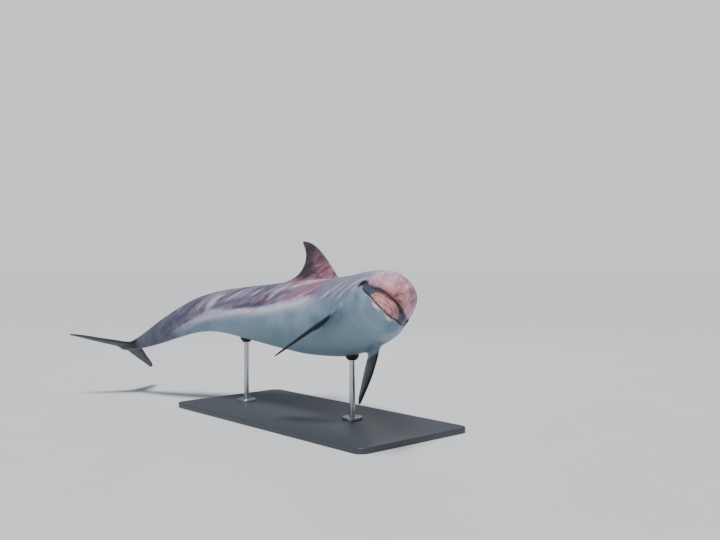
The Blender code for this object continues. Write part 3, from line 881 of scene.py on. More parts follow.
    # -------- meshes
    def _loft(self, name: str, rings: Array, maps: Array, tip: Array | None = None) -> Object:
        """Closed mesh through rings, with a baking map.

        Args:
            name: The object's name.
            rings: Points, ring by ring.
            maps: Map places of the ring points, one column more than rings has.
            tip: A point that closes the first ring, instead of its middle.

        Returns:
            The new object.
        """
        rows, columns = rings.shape[:2]
        verts = list(map(tuple, rings.reshape(-1, 3)))
        faces, places = [], []
        for i in range(rows - 1):
            for j in range(columns):
                k = (j + 1) % columns
                a, b = i * columns + j, i * columns + k
                faces.append((a, a + columns, b + columns, b))
                places += [maps[i, j], maps[i + 1, j], maps[i + 1, j + 1], maps[i, j + 1]]
        for row, first in ((0, True), (rows - 1, False)):
            verts.append(tuple(tip if first and tip is not None else rings[row].mean(axis=0)))
            centre = len(verts) - 1
            middle = maps[row].mean(axis=0) + np.array([0.0, -0.004 if first else 0.004])
            for j in range(columns):
                k = (j + 1) % columns
                a, b = row * columns + j, row * columns + k
                faces.append((a, b, centre) if first else (b, a, centre))
                pair = [maps[row, j], maps[row, j + 1]]
                places += [*pair, middle] if first else [*pair[::-1], middle]
        mesh = bpy.data.meshes.new(name)
        mesh.from_pydata(verts, [], faces)
        layer = mesh.uv_layers.new(name="OFBake")
        layer.data.foreach_set("uv", np.array(places, dtype=np.float32).ravel())
        return link(name, mesh)

    def _body_mesh(self) -> Object:
        """Mesh of the body with its folds, before the fins are united.

        Returns:
            The new object, straight.
        """
        self.rows = self._rows()
        plain, offsets = self._rings()
        rings = plain + self._normals(plain) * self._relief(plain, offsets)[..., None]
        self.raised, self.plain = rings.reshape(-1, 3), plain.reshape(-1, 3)
        gaps = np.linalg.norm(np.diff(rings, axis=0), axis=2).mean(axis=1)
        boost = np.where(rings[1:].mean(axis=1)[:, 0] < 0.45, self.mesh_sizes.map_head_boost, 1.0)
        v = np.concatenate([[0.0], np.cumsum(gaps * boost)])
        v = 0.008 + 0.984 * v / v[-1]
        u = 0.006 + (self.mesh_sizes.map_body_width - 0.012) * np.linspace(0, 1, rings.shape[1] + 1)
        maps = np.stack(np.meshgrid(u, v), -1)
        tilt = (*self.rows[0][:2], 90.0, 90.0)
        return self._loft("skin", rings, maps, self.form.cast(tilt, np.array([0.0]))[0])

    def _fin_mesh(self, fin: Fin, corner: tuple, size: tuple) -> Object:
        """Mesh of one fin on the straight animal.

        Args:
            fin: The fin to mesh.
            corner: Lower corner of its part of the baking map.
            size: Size of that part.

        Returns:
            The new object.
        """
        sections = fin.blade.sections(self.mesh_sizes.fin_sections, self.mesh_sizes.fin_side)
        if fin.name == "flukes":
            mirror = sections[:0:-1] * np.array([-1.0, 1.0, 1.0])
            sections = np.concatenate([mirror, sections])
        rings = fin.place(sections)
        u = corner[0] + size[0] * np.linspace(0, 1, rings.shape[1] + 1)
        v = corner[1] + size[1] * np.linspace(0.02, 0.98, rings.shape[0])
        return self._loft(fin.name, rings, np.stack(np.meshgrid(u, v), -1))

    def _join_fins(self, body: Object) -> None:
        """Unite the fins with the body, keeping the baking map.

        Args:
            body: The body's object, whose mesh is replaced.
        """
        left = self.mesh_sizes.map_body_width + 0.006
        width = 0.994 - left
        half = width / 2 - 0.004
        spots = {
            "dorsal": ((left, 0.01), (width, 0.27)), "flukes": ((left, 0.29), (width, 0.4)),
            "flipper_left": ((left, 0.7), (half, 0.29)),
            "flipper_right": ((left + half + 0.008, 0.7), (half, 0.29)),
        }
        for name, (corner, size) in spots.items():
            fin = self._fin_mesh(self.fins[name], corner, size)
            face_outward(fin)
            mod = body.modifiers.new("unite", "BOOLEAN")
            mod.operation, mod.solver, mod.object = "UNION", "EXACT", fin
            graph = bpy.context.evaluated_depsgraph_get()
            mesh = bpy.data.meshes.new_from_object(body.evaluated_get(graph))
            body.modifiers.remove(mod)
            old, body.data = body.data, mesh
            bpy.data.meshes.remove(old)
            fin_mesh = fin.data
            bpy.data.objects.remove(fin)
            bpy.data.meshes.remove(fin_mesh)
            LOG.info("united %s: %d faces", name, len(mesh.polygons))

    @staticmethod
    def _neighbours(mesh: bpy.types.Mesh) -> Array:
        """Both ends of every edge.

        Args:
            mesh: The mesh to read.

        Returns:
            Pairs of vertex numbers.
        """
        pairs = np.empty(len(mesh.edges) * 2, dtype=np.int64)
        mesh.edges.foreach_get("vertices", pairs)
        return pairs.reshape(-1, 2)

    def _fillet(self, mesh: bpy.types.Mesh, points: Array) -> Array:
        """Ease the skin from the body into each fin.

        Args:
            mesh: The united mesh.
            points: Its points, straight; moved in place.

        Returns:
            The moved points.
        """
        pairs = self._neighbours(mesh)
        for fin in self.fins.values():
            k = fin.blade.sizes.blend
            body, blade = self._two_fields(fin, points)
            near = (np.abs(body) < self.FILLET_REACH * k) & (np.abs(blade) < self.FILLET_REACH * k)
            idx = np.flatnonzero(near)
            if not len(idx):
                continue
            weight = np.zeros(len(points))
            far = np.maximum(np.abs(body[idx]), np.abs(blade[idx])) / k
            weight[idx] = step(self.FILLET_REACH, 1.0, far)
            edges = pairs[weight[pairs].max(axis=1) > 0]
            share = weight[idx][:, None]
            for _ in range(self.FILLET_ROUNDS):
                total, count = np.zeros_like(points), np.zeros(len(points))
                for a, b in ((0, 1), (1, 0)):
                    np.add.at(total, edges[:, a], points[edges[:, b]])
                    np.add.at(count, edges[:, a], 1)
                mean = total[idx] / np.maximum(count[idx], 1)[:, None]
                points[idx] += (mean - points[idx]) * 0.5 * share
                points[idx] += self._to_union(fin, points[idx]) * share
        return points

    def _two_fields(self, fin: Fin, p: Array) -> tuple[Array, Array]:
        """The body's field and a fin's field at points of the straight animal."""
        return self.form.body(p[:, 0], p[:, 1], p[:, 2]), fin.field(p)

    def _to_union(self, fin: Fin, p: Array) -> Array:
        """One step from points to the smooth union of the body and a fin.

        Args:
            fin: The fin to blend with.
            p: Points of the straight animal.

        Returns:
            The move for each point.
        """
        k, small = fin.blade.sizes.blend, self.FILLET_PROBE
        slope = np.zeros_like(p)
        for axis in range(3):
            shift = np.zeros(3)
            shift[axis] = small
            ahead = merge(*self._two_fields(fin, p + shift), k)
            behind = merge(*self._two_fields(fin, p - shift), k)
            slope[:, axis] = (ahead - behind) / (2 * small)
        value = merge(*self._two_fields(fin, p), k)
        length = np.maximum((slope ** 2).sum(1), 0.25)
        return np.clip(-(value / length)[:, None] * slope, -self.FILLET_STEP, self.FILLET_STEP)

    def _lid_rims(self) -> tuple[Array, list[tuple]]:
        """Soft edges of the eyelids, on the straight animal.

        Returns:
            Their points and faces.
        """
        verts, faces = [], []
        e = self.eye_sizes
        around, across = e.rim_around, e.rim_across
        for side in Side:
            base, centre = len(verts), self.eyes[side]
            for i in range(around):
                psi = 2 * math.pi * i / around
                a = e.half_length * math.cos(psi)
                b = e.half_height * math.sin(psi) * (1 - 0.22 * math.cos(psi) ** 2)
                up = math.sqrt(max(e.radius ** 2 - a * a - b * b, 0.0))
                spot = np.array([a, side.value * up, b])
                out = np.array([math.cos(psi) * 0.62, 0.0, math.sin(psi)])
                out /= np.linalg.norm(out)
                rise = spot / np.linalg.norm(spot)
                for j in range(across):
                    chi = 2 * math.pi * j / across
                    thick = e.lid_thick * (1.0 + 0.25 * math.sin(psi))
                    off = out * (1.0 + math.cos(chi)) * thick * 1.3 + rise * math.sin(chi) * thick
                    verts.append(centre + spot + off)
            for i in range(around):
                for j in range(across):
                    n, k = (i + 1) % around, (j + 1) % across
                    one, two = base + i * across, base + n * across
                    quad = (one + j, two + j, two + k, one + k)
                    faces.append(quad if side is Side.LEFT else quad[::-1])
        return np.array(verts), faces

    def _add_rims(self, obj: Object) -> None:
        """Join the eyelids' edges to the skin.

        Args:
            obj: The skin's object.
        """
        verts, faces = self._lid_rims()
        mesh = bpy.data.meshes.new("rims")
        mesh.from_pydata([tuple(v) for v in verts], [], faces)
        layer = mesh.uv_layers.new(name="OFBake")
        corners = np.arange(4 * len(faces))
        spots = np.stack([0.9955 + 0.004 * (corners % 2), 0.1 + 0.8 * (corners // 4 / len(faces))], 1)
        layer.data.foreach_set("uv", spots.astype(np.float32).ravel())
        rims = link("rims", mesh)
        bpy.ops.object.select_all(action="DESELECT")
        rims.select_set(True)
        obj.select_set(True)
        bpy.context.view_layer.objects.active = obj
        bpy.ops.object.join()

    def _plain_places(self, points: Array) -> Array:
        """Where each point lay before the folds were raised.

        Args:
            points: Points of the skin with its folds.

        Returns:
            The same points without them.
        """
        tree = KDTree(len(self.raised))
        for k, spot in enumerate(self.raised):
            tree.insert(spot, k)
        tree.balance()
        places = points.copy()
        for i, spot in enumerate(points):
            _, k, far = tree.find(spot)
            if far < 1e-5:
                places[i] = self.plain[k]
        return places

    def _lay_on_spine(self, straight: Array) -> Array:
        """World places of the skin's points; the flippers keep their shape.

        Args:
            straight: Points of the straight animal.

        Returns:
            The points in the model's frame.
        """
        world = self.spine.bend(straight)
        body = self.form.body(straight[:, 0], straight[:, 1], straight[:, 2])
        for side in Side:
            fin = self.fins[f"flipper_{side.name.lower()}"]
            q = fin.local(straight)
            near = (fin.field(straight) < 0.02) & (q[:, 0] > 0) & (np.sign(straight[:, 1]) == side.value)
            weight = (step(0.0, 0.07, body) * near)[:, None]
            world = world * (1 - weight) + self.spine.carry(straight, self.set.pin) * weight
        return world

    def build(self) -> Object:
        """Make the skin piece, in place, with its coordinates and marks, painted shade among them, as
        attributes.

        Returns:
            The skin's object.
        """
        obj = self._body_mesh()
        face_outward(obj)
        self._join_fins(obj)
        self._add_rims(obj)
        mesh = obj.data
        points = np.empty(len(mesh.vertices) * 3)
        mesh.vertices.foreach_get("co", points)
        points = points.reshape(-1, 3)
        plain = self._plain_places(points) - points
        points = self._fillet(mesh, points)
        MarkingsAndPaintedLight(self.form, self.fins, self.eyes).write(mesh, points + plain)
        mesh.vertices.foreach_set("co", self._lay_on_spine(points).ravel())
        mesh.shade_smooth()
        mesh.update()
        LOG.info("skin: %d faces", len(mesh.polygons))
        return obj


class Tone(Enum):
    """Colours laid on the grey of the back in strokes."""

    ROSE = "rose"
    # sandy pink strokes, partly painted highlight on the top of the back
    SAND = "sand"
    DARK = "dark"
    PALE = "pale"


@dataclass(frozen=True)
class Stroke:
    """One stroke of colour: its middle, half length, half width, slant and strength.

    The slant is in degrees; a stroke with a negative one climbs to the back on its way forward.
    """

    place: float
    angle: float
    length: float
    width: float
    slant: float
    strength: float = 1.0


STROKES = {
    Tone.ROSE: (
        (0.97, 72, 0.16, 0.04, -15, 1.5), (1.06, 50, 0.14, 0.04, -20, 1.4),
        (0.9, 48, 0.12, 0.018, -20, 0.8), (1.31, 84, 0.06, 0.019, -35), (1.22, 90, 0.04, 0.011, -30, 0.8),
        (1.42, 76, 0.05, 0.011, -45, 0.7), (1.52, 68, 0.045, 0.013, -50, 0.9),
        (1.64, 75, 0.07, 0.03, -60, 0.6),
    ),
    # the strokes high on the back, near and under the dorsal fin, are painted highlight; the others are
    # sandy pink skin
    Tone.SAND: (
        (1.205, 72, 0.08, 0.017, -42), (1.165, 52, 0.06, 0.012, -35, 0.9),
        (0.98, 46, 0.16, 0.024, -15, 1.5), (0.93, 76, 0.1, 0.01, -18, 0.7),
        (1.35, 66, 0.06, 0.01, -45, 0.8), (1.46, 58, 0.06, 0.01, -45, 0.8),
        (1.6, 62, 0.07, 0.012, -55, 0.8), (1.68, 84, 0.06, 0.012, -60, 0.7), (0.98, 34, 0.13, 0.03, -15),
        (1.13, 26, 0.07, 0.022, -20, 0.9),
    ),
    Tone.DARK: (
        (1.23, 84, 0.13, 0.015, -20, 1.6), (1.2, 92, 0.05, 0.012, -25), (1.1, 52, 0.07, 0.028, -30, 0.9),
        (1.47, 52, 0.09, 0.022, -40), (1.36, 54, 0.06, 0.016, -40, 0.9), (1.5, 90, 0.12, 0.018, -12),
        (1.4, 98, 0.08, 0.012, -10), (1.62, 100, 0.1, 0.014, -8), (1.75, 80, 0.1, 0.02, -30),
        (1.86, 96, 0.14, 0.026, 0), (0.72, 62, 0.1, 0.014, -25, 0.5), (0.55, 62, 0.08, 0.012, -25, 0.5),
        (0.66, 98, 0.06, 0.01, -30, 0.6), (0.58, 86, 0.09, 0.008, -26, 0.5),
    ),
    Tone.PALE: (
        (1.0, 92, 0.17, 0.026, -7), (1.22, 103, 0.13, 0.021, -9), (1.42, 112, 0.12, 0.018, -9),
        (1.62, 122, 0.16, 0.02, -9, 1.1), (1.8, 138, 0.11, 0.014, -8), (1.6, 84, 0.09, 0.03, -50, 0.8),
        (1.11, 97, 0.12, 0.026, -9, 0.9), (0.6, 76, 0.14, 0.012, -24, 0.65),
        (0.56, 92, 0.12, 0.014, -26, 0.7), (0.5, 106, 0.07, 0.012, -30, 0.8),
        (0.68, 90, 0.1, 0.016, -18, 0.75), (0.46, 60, 0.07, 0.01, -30, 0.6),
        (0.385, 74, 0.038, 0.012, -55, 1.1), (0.43, 88, 0.05, 0.011, -50, 0.95),
        (0.36, 96, 0.03, 0.014, -60, 0.95), (1.22, 48, 0.06, 0.01, -30, 0.7),
        (1.5, 76, 0.05, 0.01, -50, 0.6),
    ),
}


class MarkingsAndPaintedLight:
    """Where the animal's colours lie, painted shade and painted highlight among them, as numbers held by
    the mesh.
    """

    # place along the body and how far round from the back the grey reaches (1 is the belly)
    GREY_ENDS = (
        (0.0, 0.5), (0.12, 0.5), (0.25, 0.47), (0.33, 0.5), (0.38, 0.6), (0.5, 0.62), (0.62, 0.61),
        (0.86, 0.55), (1.02, 0.57), (1.18, 0.6), (1.36, 0.64), (1.5, 0.69), (1.6, 0.74), (1.7, 0.79),
        (1.8, 0.86), (1.9, 0.96), (2.05, 1.06), (2.32, 1.08),
    )
    CREASE = (
        (0.121, 0.0, 0.054), (0.126, 0.03, 0.05), (0.142, 0.054, 0.044), (0.18, 0.076, 0.039),
        (0.23, 0.094, 0.036), (0.27, 0.104, 0.033), (0.31, 0.113, 0.029), (0.33, 0.117, 0.026),
    )
    # half widths of the dark band of painted shade along the crease
    CREASE_SHADE_WIDTH = (0.0078, 0.0088, 0.011, 0.0135, 0.014, 0.0135, 0.013, 0.012)
    # how the left side's strokes stand off from the right side's
    LEFT_SHIFT = (0.035, -6.0, 7.0)

    def __init__(self, form: BodyForm, fins: dict[str, Fin], eyes: dict[Side, Array]) -> None:
        """Take the form, the fins and the eyes' places."""
        self.form, self.fins, self.eyes = form, fins, eyes

    def _tone(self, tone: Tone, p: Array, turn: Array) -> Array:
        """Strength of one tone's strokes at points of the straight animal.

        Args:
            tone: Which colour.
            p: Points of the straight animal.
            turn: Angles from the back, in degrees.

        Returns:
            Strength from 0 to 1.
        """
        radius = np.interp(p[:, 0], self.form.ALONG, sum(self.form.trunk[:3]) / 3)
        best = np.zeros(len(p))
        for side in Side:
            near = np.sign(p[:, 1]) == side.value
            shift = self.LEFT_SHIFT if side is Side.LEFT else (0.0, 0.0, 0.0)
            for n, stroke in enumerate(Stroke(*row) for row in STROKES[tone]):
                along = p[:, 0] - stroke.place - shift[0] * (-1) ** n
                across = np.radians(turn - stroke.angle - shift[1] * (-1) ** n) * radius
                lean = math.radians(stroke.slant + shift[2] * (-1) ** n)
                u = along * math.cos(lean) - across * math.sin(lean)
                v = along * math.sin(lean) + across * math.cos(lean)
                mark = stroke.strength * np.exp(-((u / stroke.length) ** 2) - (v / stroke.width) ** 2)
                best = np.maximum(best, mark * near)
        return best

    def _head_marks_and_shade(self, p: Array) -> dict[str, Array]:
        """Marks of melon, beak, jaw, lips, mouth line, painted shade below the melon and in the crease,
        and the eye patch that is partly painted shade.

        Args:
            p: Points of the straight animal.

        Returns:
            Strengths from 0 to 1, by name.
        """
        t, y, z = p.T
        over = z - self.form.mouth_height(t)
        pad = np.hypot((t - 0.026) / 0.036, (over + 0.0078) / 0.0088)
        lip = step(1.1, 0.45, pad) * step(0.004, 0.014, np.abs(y)) * step(-0.0004, -0.0026, over)
        corner = hill(over + 0.005, 0.0036) * hill(t - 0.152, 0.012)
        path = np.array(self.CREASE)
        # painted shade on the side of the face, between the crease under the melon and the mouth line
        cheek = step(-0.001, 0.004, over) * step(0.004, -0.006, z - np.interp(t, *path[:, [0, 2]].T))
        # the dark band along the crease is painted shade under the melon
        far, share = near_path(p, path)
        width = np.interp(share * (len(path) - 1), np.arange(len(path)), self.CREASE_SHADE_WIDTH)
        # dark patch round each eye, stretched forward and down: partly the eye's own dark skin, partly
        # painted shade under the melon
        eye = np.zeros(len(p))
        for side in Side:
            c = self.eyes[side]
            low = z - c[2] + 0.006 + 0.12 * (t - c[0])
            spot = ((t - c[0] - 0.006) / 0.034) ** 2 + (low / 0.023) ** 2
            eye = np.maximum(eye, (np.sign(y) == side.value) * np.exp(-spot))
        return {
            "melon": step(0.48, 0.23, t) * step(0.012, 0.05, z) * step(0.1, 0.125, t),
            "beak": step(0.155, 0.122, t) * step(-0.002, 0.002, over),
            "jaw": step(0.16, 0.09, t) * step(0.002, -0.002, over),
            "lip": np.maximum(lip, 0.7 * corner),
            "cheek": cheek * step(0.118, 0.15, t) * step(0.345, 0.3, t),
            "mouth": hill(over, 0.0024) * step(0.288, 0.27, t),
            "eye_patch": eye,
            "crease": hill(far, width),
        }

    def _fin_marks(self, p: Array) -> dict[str, Array]:
        """Marks of the dorsal fin and its dark rear and tip, the flukes and the flippers.

        Args:
            p: Points of the straight animal.

        Returns:
            Strengths from 0 to 1, by name.
        """
        t, y, z = p.T
        body = self.form.body(t, y, z)
        blade = self.fins["dorsal"].blade
        front, rear = np.interp(z, blade.out, blade.front), np.interp(z, blade.out, blade.rear)
        chord, up_fin = (t - front) / np.maximum(rear - front, 1e-3), np.clip((z - 0.17) / 0.235, 0, 1)
        behind = 0.86 * step(0.18, 0.82, chord) * step(0.0, 0.22, up_fin)
        dorsal = step(-0.002, 0.045, body) * (z > 0.12) * step(0.8, 0.9, t)
        return {
            "dorsal": dorsal,
            "flukes": np.maximum(step(0.004, 0.016, body) * (t > 2.05), step(2.12, 2.24, t)),
            "flipper": step(0.006, 0.06, body) * (t > 0.4) * (t < 1.0) * (z < 0.0),
            "fin_dark": np.maximum(up_fin, behind) * (dorsal > 0),
        }

    def values(self, p: Array) -> dict[str, Array]:
        """Every mark as a value per point of the straight animal.

        Args:
            p: Points of the straight animal.

        Returns:
            Values by name.
        """
        t, y, z = p.T
        around = np.arctan2(np.abs(y), z) / math.pi
        ends = np.interp(t, self.form.ALONG, smooth_curve(*zip(*self.GREY_ENDS), self.form.ALONG))
        made = {"grey_edge": ends - around, "stock": step(1.55, 2.15, t)}
        made.update(self._head_marks_and_shade(p))
        made.update(self._fin_marks(p))
        off = step(0.004, 0.016, self.form.body(t, y, z))
        turn = np.degrees(np.arctan2(np.abs(y), z))
        made.update({tone.value: self._tone(tone, p, turn) * (1 - off) for tone in Tone})
        return made

    def write(self, mesh: bpy.types.Mesh, p: Array) -> None:
        """Store the straight coordinates and every mark on the mesh.

        Args:
            mesh: The skin's mesh.
            p: Its points, straight and without folds.
        """
        straight = mesh.attributes.new("straight", "FLOAT_VECTOR", "POINT")
        straight.data.foreach_set("vector", p.astype(np.float32).ravel())
        for name, value in self.values(p).items():
            store(mesh, name, value)


# ------------------------------------------------------------------ materials
def linear(red: int, green: int, blue: int) -> tuple:
    """A colour seen on screen, as the linear numbers that a shader takes.

    Args:
        red: Red, 0 to 255.
        green: Green, 0 to 255.
        blue: Blue, 0 to 255.

    Returns:
        The colour and an alpha of one.
    """
    def one(c: float) -> float:
        """One channel, made linear."""
        c /= 255
        return c / 12.92 if c <= 0.04045 else ((c + 0.055) / 1.055) ** 2.4

    return (one(red), one(green), one(blue), 1.0)


class Graph:
    """A node tree and short ways to add the nodes used here."""

    def __init__(self, tree: bpy.types.NodeTree) -> None:
        """Start adding to a node tree."""
        self.tree, self.count = tree, 0

    def node(self, kind: str, **settings: object) -> bpy.types.Node:
        """Add a node and set its properties.

        Args:
            kind: The node's type name.
            settings: Properties by name.

        Returns:
            The new node.
        """
        made = self.tree.nodes.new(kind)
        made.location = (180 * (self.count % 12), -220 * (self.count // 12))
        self.count += 1
        for key, value in settings.items():
            setattr(made, key, value)
        return made

    def put(self, socket: Socket, value: object) -> None:
        """Link a socket, or set its constant.

        Args:
            socket: The input to feed.
            value: An output socket or a constant.
        """
        if isinstance(value, Socket):
            self.tree.links.new(value, socket)
        else:
            socket.default_value = value

    def feed(self, node: bpy.types.Node, inputs: dict) -> bpy.types.Node:
        """Link or set a node's inputs.

        Args:
            node: The node to feed.
            inputs: Output sockets or constants, by name or number of the input.

        Returns:
            The same node.
        """
        for key, value in inputs.items():
            self.put(node.inputs[key], value)
        return node

    def add(self, kind: str, inputs: dict, **settings: object) -> Socket:
        """Add a node, feed it and return its first output."""
        return self.feed(self.node(kind, **settings), inputs).outputs[0]

    def mark(self, name: str) -> Socket:
        """A number held by the mesh."""
        return self.node("ShaderNodeAttribute", attribute_name=name).outputs["Fac"]

    def vector(self, name: str) -> Socket:
        """A vector held by the mesh."""
        return self.node("ShaderNodeAttribute", attribute_name=name).outputs["Vector"]

    def math(self, kind: str, a: object, b: object = 0.0) -> Socket:
        """One sum of two values."""
        return self.add("ShaderNodeMath", {0: a, 1: b}, operation=kind)

    def times(self, a: object, b: object) -> Socket:
        """Product of two values, such as a mask at part strength."""
        return self.math("MULTIPLY", a, b)

    def step(self, value: object, low: object, high: object) -> Socket:
        """Smooth step of a value between two limits; falls where high is under low."""
        inputs = {"Value": value, "From Min": low, "From Max": high}
        return self.add("ShaderNodeMapRange", inputs, interpolation_type="SMOOTHSTEP")

    def spread(self, value: object, low: float, high: float) -> Socket:
        """A value from 0 to 1, spread between two limits."""
        return self.add("ShaderNodeMapRange", {"Value": value, "To Min": low, "To Max": high})

    def mix(self, share: object, a: object, b: object) -> Socket:
        """Mix two colours; the share is the second one's."""
        made = self.node("ShaderNodeMix", data_type="RGBA", clamp_factor=True)
        return self.feed(made, {0: share, 6: a, 7: b}).outputs[2]

    def scaled(self, vector: object, scale: tuple) -> Socket:
        """A vector stretched by axis."""
        return self.add("ShaderNodeVectorMath", {0: vector, 1: scale}, operation="MULTIPLY")

    def turned(self, vector: object, angle: object) -> Socket:
        """A vector turned about the axis across the animal."""
        inputs = {"Vector": vector, "Angle": angle}
        return self.add("ShaderNodeVectorRotate", inputs, rotation_type="Y_AXIS")

    def noise(
        self, vector: object, scale: object, detail: float = 3.0, rough: float = 0.5, warp: float = 0.0
    ) -> Socket:
        """Noise about 0.5: its fineness, finer layers and their strength, and distortion."""
        inputs = {"Scale": scale, "Detail": detail, "Roughness": rough, "Distortion": warp}
        return self.add("ShaderNodeTexNoise", {"Vector": vector, **inputs})

    def bump(self, height: object, strength: float, distance: float) -> Socket:
        """The surface's normal, shaken by a height."""
        inputs = {"Height": height, "Strength": strength, "Distance": distance}
        return self.add("ShaderNodeBump", inputs)


def new_material(name: str) -> tuple[Material, Graph, bpy.types.Node]:
    """A new procedural material.

    Args:
        name: The material's name.

    Returns:
        The material, its graph and its shader.
    """
    mat = bpy.data.materials.new(name)
    mat.use_nodes = True
    return mat, Graph(mat.node_tree), mat.node_tree.nodes["Principled BSDF"]


def add_sockets(tree: bpy.types.NodeTree, inputs: dict[str, str], outputs: dict[str, str]) -> None:
    """Declare a node group's named inputs and outputs.

    Args:
        tree: The node group.
        inputs: Types by name.
        outputs: Types by name.
    """
    for way, sockets in (("INPUT", inputs), ("OUTPUT", outputs)):
        for name, kind in sockets.items():
            tree.interface.new_socket(name, in_out=way, socket_type=f"NodeSocket{kind}")


def patch_group() -> bpy.types.NodeTree:
    """Node group: a mark whose edge is made uneven by noise.

    Returns:
        The node group.
    """
    tree = bpy.data.node_groups.new("uneven mark", "ShaderNodeTree")
    numbers = {name: "Float" for name in ("Scale", "Amount", "Low", "High")}
    add_sockets(tree, {"Mark": "Float", "Where": "Vector", **numbers}, {"Mask": "Float"})
    g = Graph(tree)
    given = g.node("NodeGroupInput").outputs
    noise = g.noise(given["Where"], given["Scale"], 6.0, 0.62, 0.4)
    shaken = g.times(g.math("SUBTRACT", noise, 0.5), given["Amount"])
    mask = g.step(g.math("ADD", given["Mark"], shaken), given["Low"], given["High"])
    g.feed(g.node("NodeGroupOutput"), {"Mask": mask})
    return tree


def scratch_group() -> bpy.types.NodeTree:
    """Node group: sets of fine parallel scratches, as other dolphins' teeth leave.

    Returns:
        The node group.
    """
    tree = bpy.data.node_groups.new("tooth scratches", "ShaderNodeTree")
    add_sockets(tree, {"Where": "Vector", "Turn": "Float"}, {"Mask": "Float"})
    g = Graph(tree)
    given = g.node("NodeGroupInput").outputs
    turned = g.turned(given["Where"], given["Turn"])
    lines = g.step(g.noise(g.scaled(turned, (2.2, 60.0, 60.0)), 2.4, 2.0, 0.45, 0.15), 0.6, 0.665)
    where = g.step(g.noise(turned, 5.5, 2.0), 0.52, 0.62)
    g.feed(g.node("NodeGroupOutput"), {"Mask": g.times(lines, where)})
    return tree


@dataclass(frozen=True)
class PlainFinish:
    """One even finish."""

    name: str
    colour: tuple
    roughness: float
    metallic: float = 0.0
    grain: float = 0.0
    grain_scale: float = 60.0
    bump: float = 0.0
    stretch: tuple = (1.0, 1.0, 1.0)

    def make(self) -> Material:
        """The finish as a procedural material.

        Returns:
            The material.
        """
        mat, g, shader = new_material(self.name)
        where = g.scaled(g.node("ShaderNodeTexCoord").outputs["Object"], self.stretch)
        noise = g.noise(where, self.grain_scale, 4.0)
        dark = tuple(c * (1 - self.grain) for c in self.colour[:3]) + (1.0,)
        light = tuple(min(1.0, c * (1 + self.grain)) for c in self.colour[:3]) + (1.0,)
        g.feed(shader, {
            "Base Color": g.mix(noise, dark, light), "Metallic": self.metallic,
            "Roughness": g.spread(noise, self.roughness * 0.85, self.roughness * 1.15),
        })
        if self.bump:
            g.feed(shader, {"Normal": g.bump(noise, 0.4, self.bump)})
        return mat


@dataclass(frozen=True)
class SkinColours:
    """The animal's colours, painted shade and painted highlight among them."""

    back: tuple = linear(128, 124, 147)
    back_dark: tuple = linear(80, 80, 101)
    back_light: tuple = linear(156, 152, 174)
    shoulder: tuple = linear(138, 144, 168)
    rose: tuple = linear(156, 106, 126)
    # sandy pink, partly painted highlight on the top of the back
    sand: tuple = linear(206, 178, 190)
    pale: tuple = linear(204, 201, 221)
    # pale belly, painted darker and bluer as painted shade on the underside; belly_shade is deeper painted
    # shade
    belly: tuple = linear(136, 160, 176)
    belly_shade: tuple = linear(98, 124, 145)
    stock: tuple = linear(66, 73, 90)
    # dark slate: painted shade on the side of the face below the melon
    cheek: tuple = linear(46, 60, 78)
    # dark maroon: painted shade in the crease under the melon
    crease_shade: tuple = linear(58, 32, 38)
    melon: tuple = linear(200, 147, 170)
    melon_brown: tuple = linear(142, 92, 84)
    # pale pink streaks of the forehead, made whiter as painted highlight
    melon_pale: tuple = linear(232, 194, 214)
    beak: tuple = linear(204, 142, 140)
    beak_dark: tuple = linear(104, 62, 62)
    lip: tuple = linear(230, 202, 204)
    lip_warm: tuple = linear(198, 146, 130)
    gash: tuple = linear(66, 63, 80)
    dark: tuple = linear(9, 10, 14)
    fin: tuple = linear(46, 53, 66)
    # dark greys of the fins; on the flukes they are deepened to near black as painted shade on the
    # underside
    fin_deep: tuple = linear(26, 30, 39)
    fin_black: tuple = linear(20, 24, 32)
    fin_warm: tuple = linear(112, 76, 86)
    fin_light: tuple = linear(164, 122, 134)
    fin_slate: tuple = linear(54, 48, 63)
    scratch: tuple = linear(206, 196, 212)


